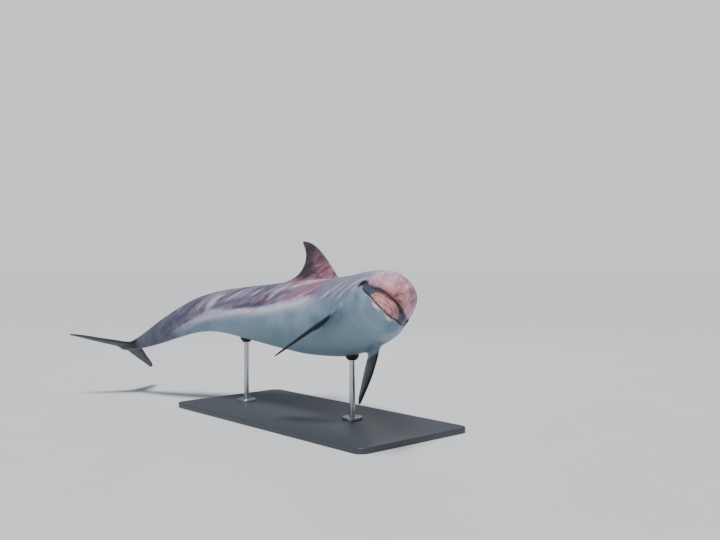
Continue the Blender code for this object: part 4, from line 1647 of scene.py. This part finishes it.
class SkinFinish:
    """The animal's skin as one procedural material."""

    def __init__(self, colours: SkinColours) -> None:
        """Take the colours and build the shared node groups."""
        self.c = colours
        self.patch, self.scratch = patch_group(), scratch_group()

    def _mark(self, mark: object, scale: float, amount: float, low: float, high: float) -> Socket:
        """A mark with an edge shaken by noise of a scale and amount, full from low to high."""
        inputs = {"Mark": mark, "Scale": scale, "Amount": amount, "Low": low, "High": high}
        return self.g.add("ShaderNodeGroup", {**inputs, "Where": self.streaky}, node_tree=self.patch)

    def _scratches(self, turn: float, shift: float) -> Socket:
        """Fine scratches in one direction.

        Args:
            turn: Their angle, in radians.
            shift: How far the noise is shifted, to part one set from another.

        Returns:
            The mask.
        """
        inputs = {0: self.where, 1: (shift, 0.0, 0.5 * shift)}
        where = self.g.add("ShaderNodeVectorMath", inputs, operation="ADD")
        return self.g.add("ShaderNodeGroup", {"Where": where, "Turn": turn}, node_tree=self.scratch)

    def _slanted(self, turn: float, stretch: float) -> Socket:
        """Coordinates drawn out along a slant up the animal's side."""
        return self.g.scaled(self.g.turned(self.where, turn), (1.0, stretch, stretch))

    def _body_colour(self) -> Socket:
        """Grey back with strokes of rose and of a sandy pink that is partly painted highlight, a pale
        flank, and a belly painted darker and bluer as painted shade.

        Returns:
            The colour.
        """
        g, c = self.g, self.c
        broad = g.noise(self.streaky, 5.0, 5.0, 0.62, 0.5)
        fine = g.noise(self._slanted(-0.6, 5.0), 17.0, 4.0, 0.62, 0.3)
        colour = g.mix(g.step(broad, 0.36, 0.6), c.back_dark, c.back)
        colour = g.mix(g.times(g.step(fine, 0.5, 0.72), 0.5), colour, c.back_light)
        uneven = g.step(g.math("ADD", broad, g.times(fine, 0.5)), 0.92, 0.66)
        front = g.times(g.step(self.along, 0.95, 0.62), uneven)
        colour = g.mix(g.times(front, 0.75), colour, c.shoulder)
        # the sandy strokes are partly painted highlight
        tones = (
            (Tone.ROSE, c.rose, 0.82, 1.0), (Tone.DARK, c.gash, 0.66, 0.8),
            (Tone.PALE, c.pale, 0.84, 0.7), (Tone.SAND, c.sand, 0.92, 0.9),
        )
        for tone, paint, share, amount in tones:
            mask = self._mark(g.mark(tone.value), 10.0, amount, 0.2, 0.88)
            gaps = 0.35 if tone in (Tone.PALE, Tone.DARK) else 0.55
            broken = g.math("ADD", g.times(g.step(fine, 0.38, 0.6), gaps), 1.0 - gaps)
            colour = g.mix(g.times(g.times(mask, broken), share), colour, paint)
        spots = g.noise(self.where, 30.0, 4.0, 0.65, 0.5)
        colour = g.mix(g.times(g.step(spots, 0.56, 0.7), 0.35), colour, c.rose)
        colour = g.mix(g.times(g.step(fine, 0.46, 0.3), 0.4), colour, c.back_dark)
        stock = self._mark(g.mark("stock"), 3.0, 0.35, 0.15, 0.95)
        colour = g.mix(g.times(stock, 0.7), colour, c.stock)
        edge = g.mark("grey_edge")
        # belly colours: a pale belly darkened as painted shade, with patches of deeper painted shade
        shade = g.mix(g.step(g.noise(self.where, 3.6, 4.0, 0.6), 0.36, 0.64), c.belly_shade, c.belly)
        shade = g.mix(g.step(edge, -0.1, -0.34), shade, c.belly)
        band = self._mark(edge, 6.0, 0.05, 0.085, 0.02)
        span = g.times(g.step(self.along, 0.72, 0.95), g.step(self.along, 1.92, 1.72))
        colour = g.mix(g.times(g.times(band, span), 0.72), colour, c.pale)
        belly = self._mark(edge, 4.2, 0.1, 0.04, -0.065)
        return g.mix(belly, colour, shade)

    def _melon_colour(self, blots: Socket) -> Socket:
        """Pink forehead with paler lines that are partly painted highlight, brown blots on the crown and
        freckles.

        Args:
            blots: Noise that gathers the brown blots.

        Returns:
            The colour.
        """
        g, c = self.g, self.c
        # pale streaks on the forehead, partly painted highlight
        lines = g.noise(g.scaled(self.where, (10.0, 15.0, 6.0)), 2.6, 6.0, 0.66, 0.9)
        melon = g.mix(g.step(lines, 0.37, 0.7), c.melon, c.melon_pale)
        dusk = g.noise(self.where, 11.0, 4.0, 0.6, 0.3)
        melon = g.mix(g.times(g.step(dusk, 0.5, 0.64), 0.35), melon, c.melon_brown)
        freckles = g.noise(self.where, 105.0, 3.0, 0.6, 0.2)
        melon = g.mix(g.times(g.step(freckles, 0.54, 0.66), 0.3), melon, c.melon_brown)
        middle = g.step(g.math("ABSOLUTE", g.math("SUBTRACT", self.across, 0.022)), 0.095, 0.02)
        crown = g.times(g.step(self.height, 0.04, 0.1), middle)
        brown = g.times(g.step(blots, 0.4, 0.6), g.math("ADD", g.times(crown, 0.66), 0.12))
        return g.mix(brown, melon, c.melon_brown)

    def _head_colour(self, colour: Socket) -> Socket:
        """Pinkish forehead and beak, pale lips, painted shade in the crease and below the melon, and a
        dark eye patch that is partly painted shade.

        Args:
            colour: The body's colour.

        Returns:
            That colour with the head over it.
        """
        g, c = self.g, self.c
        blots = g.noise(self.where, 54.0, 5.0, 0.68, 0.35)
        melon = self._mark(g.mark("melon"), 7.0, 0.7, 0.26, 0.98)
        colour = g.mix(melon, colour, self._melon_colour(blots))
        wrinkle = self._wrinkles()
        beak = g.mix(g.step(wrinkle, 0.34, 0.56), c.beak_dark, c.beak)
        beak = g.mix(g.times(g.step(blots, 0.5, 0.7), 0.45), beak, c.melon_pale)
        colour = g.mix(g.mark("beak"), colour, beak)
        jaw = g.mix(g.step(wrinkle, 0.4, 0.64), c.belly_shade, c.belly)
        colour = g.mix(g.times(g.mark("jaw"), 0.14), colour, jaw)
        # painted shade below the melon, between the crease and the mouth line
        cheek = self._mark(g.mark("cheek"), 16.0, 0.3, 0.1, 0.8)
        colour = g.mix(g.times(cheek, 0.86), colour, c.cheek)
        # the crease painted dark as painted shade under the melon, maroon at the beak and near black
        # towards the eye
        crease_shade = g.mix(g.step(self.along, 0.15, 0.26), c.crease_shade, c.dark)
        crease = self._mark(g.mark("crease"), 14.0, 0.14, 0.2, 0.72)
        colour = g.mix(g.times(crease, 0.92), colour, crease_shade)
        lip = g.mix(g.step(blots, 0.42, 0.62), c.lip, c.lip_warm)
        colour = g.mix(self._mark(g.mark("lip"), 24.0, 0.6, 0.12, 1.0), colour, lip)
        # the eye patch is partly dark skin and partly painted shade under the melon
        eye = self._mark(g.mark("eye_patch"), 14.0, 0.3, 0.25, 0.75)
        colour = g.mix(g.times(eye, 0.97), colour, c.dark)
        return g.mix(g.times(g.mark("mouth"), 0.92), colour, c.dark)

    def _fin_colour(self, colour: Socket) -> Socket:
        """Dark flippers, flukes made near black partly as painted shade, and a warm dorsal fin with a dark
        tip.

        Args:
            colour: The body's and head's colour.

        Returns:
            That colour with the fins over it.
        """
        g, c = self.g, self.c
        mottle = g.noise(self.streaky, 12.0, 5.0, 0.62, 0.5)
        high = self._mark(g.mark("fin_dark"), 8.0, 0.24, 0.1, 0.95)
        warm = g.mix(g.step(mottle, 0.42, 0.66), c.fin_warm, c.fin_light)
        warm = g.mix(g.times(g.step(mottle, 0.46, 0.34), 0.5), warm, c.fin)
        slate = g.mix(g.times(g.step(mottle, 0.44, 0.64), 0.3), c.fin_slate, c.fin_warm)
        dorsal = self._mark(g.mark("dorsal"), 9.0, 0.5, 0.1, 0.75)
        colour = g.mix(dorsal, colour, g.mix(high, warm, slate))
        # the flukes' own dark grey, deepened to near black as painted shade
        flukes = self._mark(g.mark("flukes"), 8.0, 0.35, 0.2, 0.7)
        deep = g.mix(g.step(mottle, 0.36, 0.66), c.fin_black, c.fin_deep)
        colour = g.mix(g.times(flukes, 0.97), colour, deep)
        dark = g.mix(g.step(mottle, 0.36, 0.66), c.fin_deep, c.fin)
        return g.mix(self._mark(g.mark("flipper"), 9.0, 0.25, 0.15, 0.6), colour, dark)

    def _belly_lines(self, colour: Socket) -> Socket:
        """Fine dark slits along the middle of the belly, behind the navel.

        Args:
            colour: The animal's colour.

        Returns:
            That colour with the slits over it.
        """
        g = self.g
        line = g.step(g.math("ABSOLUTE", self.across), 0.0022, 0.0006)
        low = g.step(self.height, 0.0, -0.02)
        for start, stop in ((1.065, 1.085), (1.37, 1.48), (1.515, 1.55)):
            starts = g.step(self.along, start, start + 0.006)
            span = g.times(starts, g.step(self.along, stop, stop - 0.006))
            mask = g.times(g.times(line, span), low)
            colour = g.mix(g.times(mask, 0.75), colour, self.c.fin)
        return colour

    def _all_scratches(self) -> Socket:
        """Fine scratches in two directions, on the grey of the trunk only.

        Returns:
            The mask.
        """
        g = self.g
        marks = g.math("MAXIMUM", self._scratches(-0.55, 0.0), self._scratches(-0.95, 1.7))
        back = g.step(g.mark("grey_edge"), -0.06, 0.06)
        trunk = g.times(g.step(self.along, 0.42, 0.52), g.step(self.along, 2.05, 1.8))
        return g.times(g.times(marks, back), trunk)

    def _roughness(self, grain: Socket) -> Socket:
        """Satin skin, duller on the eye patch and its painted shade, and along the mouth.

        Args:
            grain: Fine noise.

        Returns:
            The roughness.
        """
        g = self.g
        dark = g.math("MAXIMUM", g.mark("eye_patch"), g.mark("mouth"))
        return g.math("ADD", g.spread(grain, 0.4, 0.54), g.times(dark, 0.3))

    def _wrinkles(self) -> Socket:
        """Noise drawn out across the head, for its fine folds."""
        return self.g.noise(self.g.scaled(self.where, (34.0, 10.0, 14.0)), 1.7, 5.0, 0.62, 1.2)

    def _bump(self, grain: Socket, marks: Socket) -> Socket:
        """Fine folds on melon and beak, grain everywhere and shallow scratches.

        Args:
            grain: Fine noise.
            marks: The scratches.

        Returns:
            The normal.
        """
        g = self.g
        head = g.math("MAXIMUM", g.times(g.mark("melon"), 0.7), g.mark("beak"))
        height = g.times(self._wrinkles(), g.math("ADD", g.times(head, 0.9), 0.03))
        height = g.math("ADD", height, g.times(grain, 0.08))
        height = g.math("SUBTRACT", height, g.times(marks, 0.1))
        return g.bump(height, 0.6, 0.005)

    def make(self) -> Material:
        """The skin's material.

        Returns:
            The material.
        """
        mat, g, shader = new_material("dolphin skin")
        self.g, self.where = g, g.vector("straight")
        self.streaky = self._slanted(-0.6, 2.6)
        split = g.feed(g.node("ShaderNodeSeparateXYZ"), {0: self.where})
        self.along, self.across, self.height = split.outputs
        colour = self._fin_colour(self._head_colour(self._belly_lines(self._body_colour())))
        marks, grain = self._all_scratches(), g.noise(self.where, 90.0, 3.0)
        g.feed(shader, {
            "Base Color": g.mix(g.times(marks, 0.18), colour, self.c.scratch),
            "Roughness": self._roughness(grain), "Specular IOR Level": 0.28,
            "Coat Weight": 0.03, "Coat Roughness": 0.3, "Normal": self._bump(grain, marks),
        })
        return mat


# ------------------------------------------------------------------ eyes
@dataclass(frozen=True)
class EyeColours:
    """The eyeball's colours, from its rim to its pupil."""

    rim: tuple = linear(62, 52, 52)
    iris: tuple = linear(70, 50, 44)
    iris_inner: tuple = linear(48, 34, 32)
    pupil: tuple = linear(8, 8, 10)


class Eyes:
    """Both eyeballs, finely meshed over the CAD's eyes."""

    # half width of the head from which the search for the eyes' depth starts
    FIRST_GUESS = 0.12

    def __init__(self, form: BodyForm, spine: Spine, sizes: EyeSizes) -> None:
        """Take the sizes and find both eyes' places."""
        self.form, self.spine, self.sizes = form, spine, sizes
        self.straight = {side: self._centre(side) for side in Side}

    def _centre(self, side: Side) -> Array:
        """Centre of an eyeball on the straight animal, as deep as the CAD's.

        Args:
            side: Which eye.

        Returns:
            The centre.
        """
        e = self.sizes
        wide = self.FIRST_GUESS
        for _ in range(2):
            spot = self.form.cast((e.place, 0.0, 0.0, 0.0), np.array([math.atan2(wide, e.height)]))[0]
            wide = float(spot[1])
        return np.array([e.place, side.value * (wide - e.radius + e.shows), e.height])

    def _finish(self) -> Material:
        """Dark wet eye with a brown iris.

        Returns:
            The material.
        """
        mat, g, shader = new_material("dark wet eye")
        look, c = g.mark("look"), EyeColours()
        iris = g.mix(g.step(look, 0.86, 0.93), c.iris, c.iris_inner)
        colour = g.mix(g.step(look, 0.66, 0.76), c.rim, iris)
        colour = g.mix(g.step(g.mark("pupil"), 0.4, 0.6), colour, c.pupil)
        g.feed(shader, {
            "Base Color": colour, "Roughness": 0.1, "Coat Weight": 0.8, "Coat Roughness": 0.03,
        })
        return mat

    def build(self) -> None:
        """Make both eyes in place."""
        mat = self._finish()
        for side in Side:
            low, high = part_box(f"eye_{side.name.lower()}")
            centre = np.array((low + high) / 2)
            _, _, left, _ = self.spine.at(np.array([self.straight[side][0]]))
            axis = left[0] * side.value
            name = f"{side.name.lower()}_eyeball"
            mesh = bpy.data.meshes.new(name)
            fill_ball(mesh, centre, self.sizes.radius, axis)
            mesh.materials.append(mat)
            obj = link(name, mesh)
            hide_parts(f"eye_{side.name.lower()}")
            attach(obj, "root")
            LOG.info("eye: %s", name)


def fill_ball(mesh: bpy.types.Mesh, centre: Array, radius: float, axis: Array) -> None:
    """Fill a mesh with a ball whose poles lie on an axis, marked with where it looks.

    Args:
        mesh: The mesh to fill.
        centre: The ball's centre.
        radius: The ball's radius.
        axis: The way that the eye looks.
    """
    rows, columns = 28, 40
    axis = Vector(axis).normalized()
    turn = np.array(axis.to_track_quat("Z", "Y").to_matrix())
    points = [(0.0, 0.0, 1.0)]
    for i in range(1, rows):
        a = math.pi * i / rows
        points += circle(0.0, 0.0, math.sin(a), math.cos(a), columns)
    points.append((0.0, 0.0, -1.0))
    points = np.array(points)
    faces = [(0, 1 + j, 1 + (j + 1) % columns) for j in range(columns)]
    for i in range(rows - 2):
        for j in range(columns):
            a, b = 1 + i * columns + j, 1 + i * columns + (j + 1) % columns
            faces.append((a, a + columns, b + columns, b))
    last, base = len(points) - 1, 1 + (rows - 2) * columns
    faces += [(last, base + (j + 1) % columns, base + j) for j in range(columns)]
    world = centre + radius * (points @ turn.T)
    mesh.from_pydata([tuple(v) for v in world], [], faces)
    store(mesh, "look", points[:, 2])
    off = np.sqrt((points[:, 0] / 0.24) ** 2 + (points[:, 1] / 0.15) ** 2)
    store(mesh, "pupil", np.clip(1.5 - off, 0, 1) * (points[:, 2] > 0))
    mesh.shade_smooth()


# ------------------------------------------------------------------ stand
@dataclass(frozen=True)
class StandSizes:
    """The visual stand, over the CAD's."""

    corner: float = 0.045
    bevel: float = 0.004
    rod_radius: float = 0.0125
    foot_radius: float = 0.045
    foot_edge: float = 0.003
    foot_gap: float = 0.002
    cup_radius: float = 0.03
    cup_flare: float = 0.007
    cup_lip: float = 0.002
    cup_bowl: float = 0.55
    cup_curve: float = 0.75
    screws: int = 4
    screw_circle: float = 0.031
    screw_radius: float = 0.0042
    screw_height: float = 0.0024
    screw_lift: float = 0.0011
    columns: int = 64


class Stand:
    """Flat base, two rods with round feet, and rubber cups under the belly."""

    def __init__(self, sizes: StandSizes) -> None:
        """Take the sizes and make the three finishes.

        Args:
            sizes: Sizes of the stand's pieces.
        """
        self.sizes = sizes
        self.paint = PlainFinish(
            "dark base paint", linear(62, 66, 72), 0.42, grain=0.08, grain_scale=180.0, bump=0.0004
        ).make()
        self.steel = PlainFinish(
            "brushed rod steel", (0.55, 0.56, 0.58, 1.0), 0.3, metallic=1.0, grain=0.06,
            grain_scale=420.0, stretch=(1.0, 1.0, 0.03),
        ).make()
        self.rubber = PlainFinish(
            "black cup rubber", linear(34, 34, 36), 0.62, grain=0.12, grain_scale=120.0, bump=0.0003
        ).make()

    def _piece(
        self, name: str, shape: tuple[list, list], mat: Material, node: str
    ) -> None:
        """Make one piece over its CAD node.

        Args:
            name: The piece's name.
            shape: Its points and faces.
            mat: Its finish.
            node: The CAD node that it replaces.
        """
        verts, faces = shape
        mesh = bpy.data.meshes.new(name)
        mesh.from_pydata(verts, [], faces)
        mesh.materials.append(mat)
        obj = link(name, mesh)
        face_outward(obj)
        mesh.shade_smooth()
        mesh.set_sharp_from_angle(angle=math.radians(32))
        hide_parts(node)
        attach(obj, "root")
        LOG.info("stand: %s", name)

    @staticmethod
    def _stack(rings: list[list]) -> tuple[list, list]:
        """Closed stack of rings with flat ends.

        Args:
            rings: Points, ring by ring, from the bottom up.

        Returns:
            Points and faces.
        """
        count = len(rings[0])
        verts = [v for ring in rings for v in ring]
        faces = []
        for i in range(len(rings) - 1):
            for j in range(count):
                k = (j + 1) % count
                faces.append((i * count + j, i * count + k, (i + 1) * count + k, (i + 1) * count + j))
        last = (len(rings) - 1) * count
        faces += [tuple(range(count - 1, -1, -1)), tuple(range(last, last + count))]
        return verts, faces

    def _lathe(self, centre: Vector, profile: Sequence[tuple]) -> tuple[list, list]:
        """Closed turned shape on an upright axis."""
        count = self.sizes.columns
        return self._stack([circle(centre[0], centre[1], *spot, count) for spot in profile])

    def _base(self) -> None:
        """Flat base with rounded corners and rounded edges."""
        s = self.sizes
        low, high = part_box("stand_base")
        turns = [math.radians(22.5 * k) for k in range(5)]
        arcs = [(1 - math.sin(a), 1 - math.cos(a)) for a in turns]
        rings = [(s.bevel * inward, low.z + s.bevel * up) for inward, up in arcs]
        rings += [(s.bevel * inward, high.z - s.bevel * down) for down, inward in arcs]
        loops = []
        for inset, height in rings:
            x, y, r = high.x - inset, high.y - inset, s.corner - inset
            loop = []
            for cx, cy, start in ((1, 1, 0), (-1, 1, 90), (-1, -1, 180), (1, -1, 270)):
                for k in range(13):
                    a = math.radians(start + 7.5 * k)
                    loop.append((cx * (x - r) + r * math.cos(a), cy * (y - r) + r * math.sin(a), height))
            loops.append(loop)
        self._piece("display_base", self._stack(loops), self.paint, "stand_base")

    def _rod(self, which: str) -> Vector:
        """One upright rod.

        Args:
            which: Front or rear.

        Returns:
            The middle of the rod.
        """
        low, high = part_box(f"stand_rod_{which}")
        centre, radius = (low + high) / 2, self.sizes.rod_radius
        shape = self._lathe(centre, [(radius, low.z), (radius, high.z)])
        self._piece(f"{which}_rod", shape, self.steel, f"stand_rod_{which}")
        return centre

    def _foot(self, which: str, centre: Vector) -> None:
        """Round foot of one rod, with a rounded upper edge.

        Args:
            which: Front or rear.
            centre: The middle of the rod.
        """
        s = self.sizes
        low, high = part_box(f"stand_foot_{which}")
        profile = [(s.foot_radius, low.z), (s.foot_radius, high.z - s.foot_edge)]
        for k in range(1, 5):
            a = math.radians(22.5 * k)
            inward, down = s.foot_edge * (1 - math.cos(a)), s.foot_edge * (1 - math.sin(a))
            profile.append((s.foot_radius - inward, high.z - down))
        profile.append((s.rod_radius + s.foot_gap, high.z))
        shape = self._lathe(centre, profile)
        self._piece(f"{which}_foot", shape, self.steel, f"stand_foot_{which}")

    def _cup(self, which: str, centre: Vector) -> None:
        """Rubber cup that flares from one rod to the belly.

        Args:
            which: Front or rear.
            centre: The middle of the rod.
        """
        s = self.sizes
        low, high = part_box(f"stand_cup_{which}")
        flare = s.rod_radius + s.cup_flare
        profile = [(flare - s.cup_lip, low.z), (flare, low.z + s.cup_lip)]
        rise = s.cup_bowl * (high.z - low.z - 2 * s.cup_lip)
        for k in range(1, 9):
            f = k / 8
            radius = flare + (s.cup_radius - flare) * f ** s.cup_curve
            profile.append((radius, low.z + s.cup_lip + rise * f))
        profile.append((s.cup_radius, high.z))
        shape = self._lathe(centre, profile)
        self._piece(f"{which}_cup", shape, self.rubber, f"stand_cup_{which}")

    def _screw_group(self) -> bpy.types.NodeTree:
        """Geometry nodes: screw heads evenly round a foot.

        Returns:
            The node group.
        """
        tree = bpy.data.node_groups.new("screws round a foot", "GeometryNodeTree")
        inputs = {
            "Count": "Int", "Circle radius": "Float", "Head radius": "Float", "Head height": "Float",
            "Centre": "Vector", "Steel": "Material",
        }
        add_sockets(tree, inputs, {"Screws": "Geometry"})
        g = Graph(tree)
        given = g.node("NodeGroupInput").outputs
        count, radius, height = given["Count"], given["Head radius"], given["Head height"]
        spots = g.add("GeometryNodeMeshCircle", {"Vertices": count, "Radius": given["Circle radius"]})
        head = g.add("GeometryNodeMeshCylinder", {"Vertices": 24, "Radius": radius, "Depth": height})
        size = {"Radius": g.times(radius, 0.5), "Depth": height}
        socket = g.add("GeometryNodeMeshCylinder", {"Vertices": 6, **size})
        up = g.add("ShaderNodeCombineXYZ", {"Z": g.times(height, 0.5)})
        lift = g.add("GeometryNodeTransform", {"Geometry": socket, "Translation": up})
        bored = g.add("GeometryNodeMeshBoolean", {"Mesh 1": head, "Mesh 2": lift}, operation="DIFFERENCE")
        spread = g.add("GeometryNodeInstanceOnPoints", {"Points": spots, "Instance": bored})
        place = g.add("GeometryNodeTransform", {"Geometry": spread, "Translation": given["Centre"]})
        solid = g.add("GeometryNodeRealizeInstances", {"Geometry": place})
        dressed = g.add("GeometryNodeSetMaterial", {"Geometry": solid, "Material": given["Steel"]})
        g.feed(g.node("NodeGroupOutput"), {"Screws": dressed})
        return tree

    def _screws(self, which: str, tree: bpy.types.NodeTree) -> None:
        """Screws round one foot, made by the node group and kept as a mesh.

        Args:
            which: Front or rear.
            tree: The node group.
        """
        s = self.sizes
        low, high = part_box(f"stand_foot_{which}")
        name = f"{which}_foot_screws"
        obj = link(name, bpy.data.meshes.new(name))
        mod = obj.modifiers.new("screws", "NODES")
        mod.node_group = tree
        values = {
            "Count": s.screws, "Circle radius": s.screw_circle, "Head radius": s.screw_radius,
            "Head height": s.screw_height, "Steel": self.steel,
            "Centre": ((low.x + high.x) / 2, (low.y + high.y) / 2, high.z + s.screw_lift),
        }
        for item in tree.interface.items_tree:
            if item.in_out == "INPUT":
                mod[item.identifier] = values[item.name]
        obj.update_tag()
        graph = bpy.context.evaluated_depsgraph_get()
        mesh = bpy.data.meshes.new_from_object(obj.evaluated_get(graph))
        obj.modifiers.remove(mod)
        obj.data = mesh
        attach(obj, "root")
        LOG.info("stand: %s", name)

    def build(self) -> None:
        """Make every piece of the stand."""
        self._base()
        tree = self._screw_group()
        for which in ("front", "rear"):
            centre = self._rod(which)
            self._foot(which, centre)
            self._cup(which, centre)
            self._screws(which, tree)


# ------------------------------------------------------------------ stage
@dataclass(frozen=True)
class CameraSizes:
    """Where the camera stands and looks, in the model's frame."""

    place: tuple = (2.9842, -2.3855, 0.7422)
    azimuth: float = 48.01
    elevation: float = 0.97
    lens: float = 41.94
    sensor: float = 36.0


@dataclass(frozen=True)
class StageSizes:
    """The floor, its surroundings and the spot that the lamps look at."""

    floor_radius: float = 40.0
    floor_sides: int = 96
    floor: tuple = linear(214, 216, 218)
    soft_light: tuple = (0.17, 0.2, 0.24, 1.0)
    backdrop: tuple = (0.9, 0.91, 0.92, 1.0)
    middle: tuple = (0.0, 0.0, 0.5)


@dataclass(frozen=True)
class Sun:
    """A far light: the way to it, its spread in degrees, its power and its colour."""

    name: str
    toward: tuple
    spread: float
    power: float
    colour: tuple


@dataclass(frozen=True)
class Lamp:
    """A round studio lamp: its place, width, power and colour."""

    name: str
    place: tuple
    size: float
    power: float
    colour: tuple


KEY = Sun("key", (0.22, -0.26, 0.94), 18.0, 4.0, (1.0, 0.98, 0.96))
LAMPS = (
    Lamp("fill", (1.9, -4.0, 1.3), 2.6, 11.0, (0.88, 0.94, 1.0)),
    Lamp("back", (-2.2, 2.4, 2.6), 1.6, 18.0, (0.95, 0.97, 1.0)),
)


class Stage:
    """Floor, studio light and camera."""

    def __init__(self, sizes: StageSizes, camera: CameraSizes) -> None:
        """Take the sizes and the camera's place."""
        self.sizes, self.camera = sizes, camera

    def _floor(self) -> None:
        """Pale round floor, far wider than the view."""
        s = self.sizes
        mesh = bpy.data.meshes.new("floor")
        edge = circle(0.0, 0.0, s.floor_radius, 0.0, s.floor_sides)
        mesh.from_pydata(edge, [], [tuple(range(s.floor_sides))])
        finish = PlainFinish("pale floor", s.floor, 0.75, grain=0.015, grain_scale=3.0)
        mesh.materials.append(finish.make())
        link("floor", mesh)

    def _surroundings(self) -> None:
        """Even soft light from all round, and a plain backdrop."""
        world = bpy.data.worlds.new("soft surroundings")
        world.use_nodes = True
        g = Graph(world.node_tree)
        seen = g.node("ShaderNodeLightPath").outputs["Is Camera Ray"]
        sky = world.node_tree.nodes["Background"]
        g.feed(sky, {"Color": g.mix(seen, self.sizes.soft_light, self.sizes.backdrop)})
        bpy.context.scene.world = world

    def _sun(self, sun: Sun) -> None:
        """Add a far light.

        Args:
            sun: The light to add.
        """
        data = bpy.data.lights.new(sun.name, "SUN")
        data.angle, data.energy, data.color = math.radians(sun.spread), sun.power, sun.colour
        obj = link(sun.name, data)
        obj.rotation_euler = Vector(sun.toward).to_track_quat("Z", "Y").to_euler()

    def _lamp(self, lamp: Lamp) -> None:
        """Add a round lamp that looks at the middle of the model.

        Args:
            lamp: The lamp to add.
        """
        data = bpy.data.lights.new(lamp.name, "AREA")
        data.shape, data.size, data.energy, data.color = "DISK", lamp.size, lamp.power, lamp.colour
        obj = link(lamp.name, data)
        obj.location = lamp.place
        aim = Vector(self.sizes.middle) - Vector(lamp.place)
        obj.rotation_euler = aim.to_track_quat("-Z", "Y").to_euler()

    def _camera(self) -> None:
        """Place the camera and make it the scene's."""
        c = self.camera
        data = bpy.data.cameras.new("camera")
        data.sensor_width, data.lens = c.sensor, c.lens
        data.clip_start, data.clip_end = 0.05, 200.0
        obj = link("camera", data)
        a, e = math.radians(c.azimuth), math.radians(c.elevation)
        back = Vector((math.sin(a) * math.cos(e), -math.cos(a) * math.cos(e), math.sin(e)))
        right = Vector((math.cos(a), math.sin(a), 0.0))
        up = back.cross(right)
        rows = [[right[k], up[k], back[k], c.place[k]] for k in range(3)]
        obj.matrix_world = Matrix([*rows, [0.0, 0.0, 0.0, 1.0]])
        bpy.context.scene.camera = obj

    def build(self) -> None:
        """Set up the stage."""
        self._floor()
        self._surroundings()
        self._sun(KEY)
        for lamp in LAMPS:
            self._lamp(lamp)
        self._camera()
        LOG.info("stage set")


# ------------------------------------------------------------------ build
def main() -> None:
    """Build every piece in order."""
    logging.basicConfig(level=logging.INFO, format="%(message)s")
    spine, form = Spine(SpineSizes()), BodyForm(BodySizes())
    eyes = Eyes(form, spine, EyeSizes())
    skin = Skin(form, spine, eyes.straight).build()
    skin.data.materials.clear()
    skin.data.materials.append(SkinFinish(SkinColours()).make())
    skin.name = "dolphin_skin"
    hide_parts(*Skin.FLESH)
    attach(skin, "root")
    eyes.build()
    Stand(StandSizes()).build()
    Stage(StageSizes(), CameraSizes()).build()


if __name__ == "__main__":
    main()
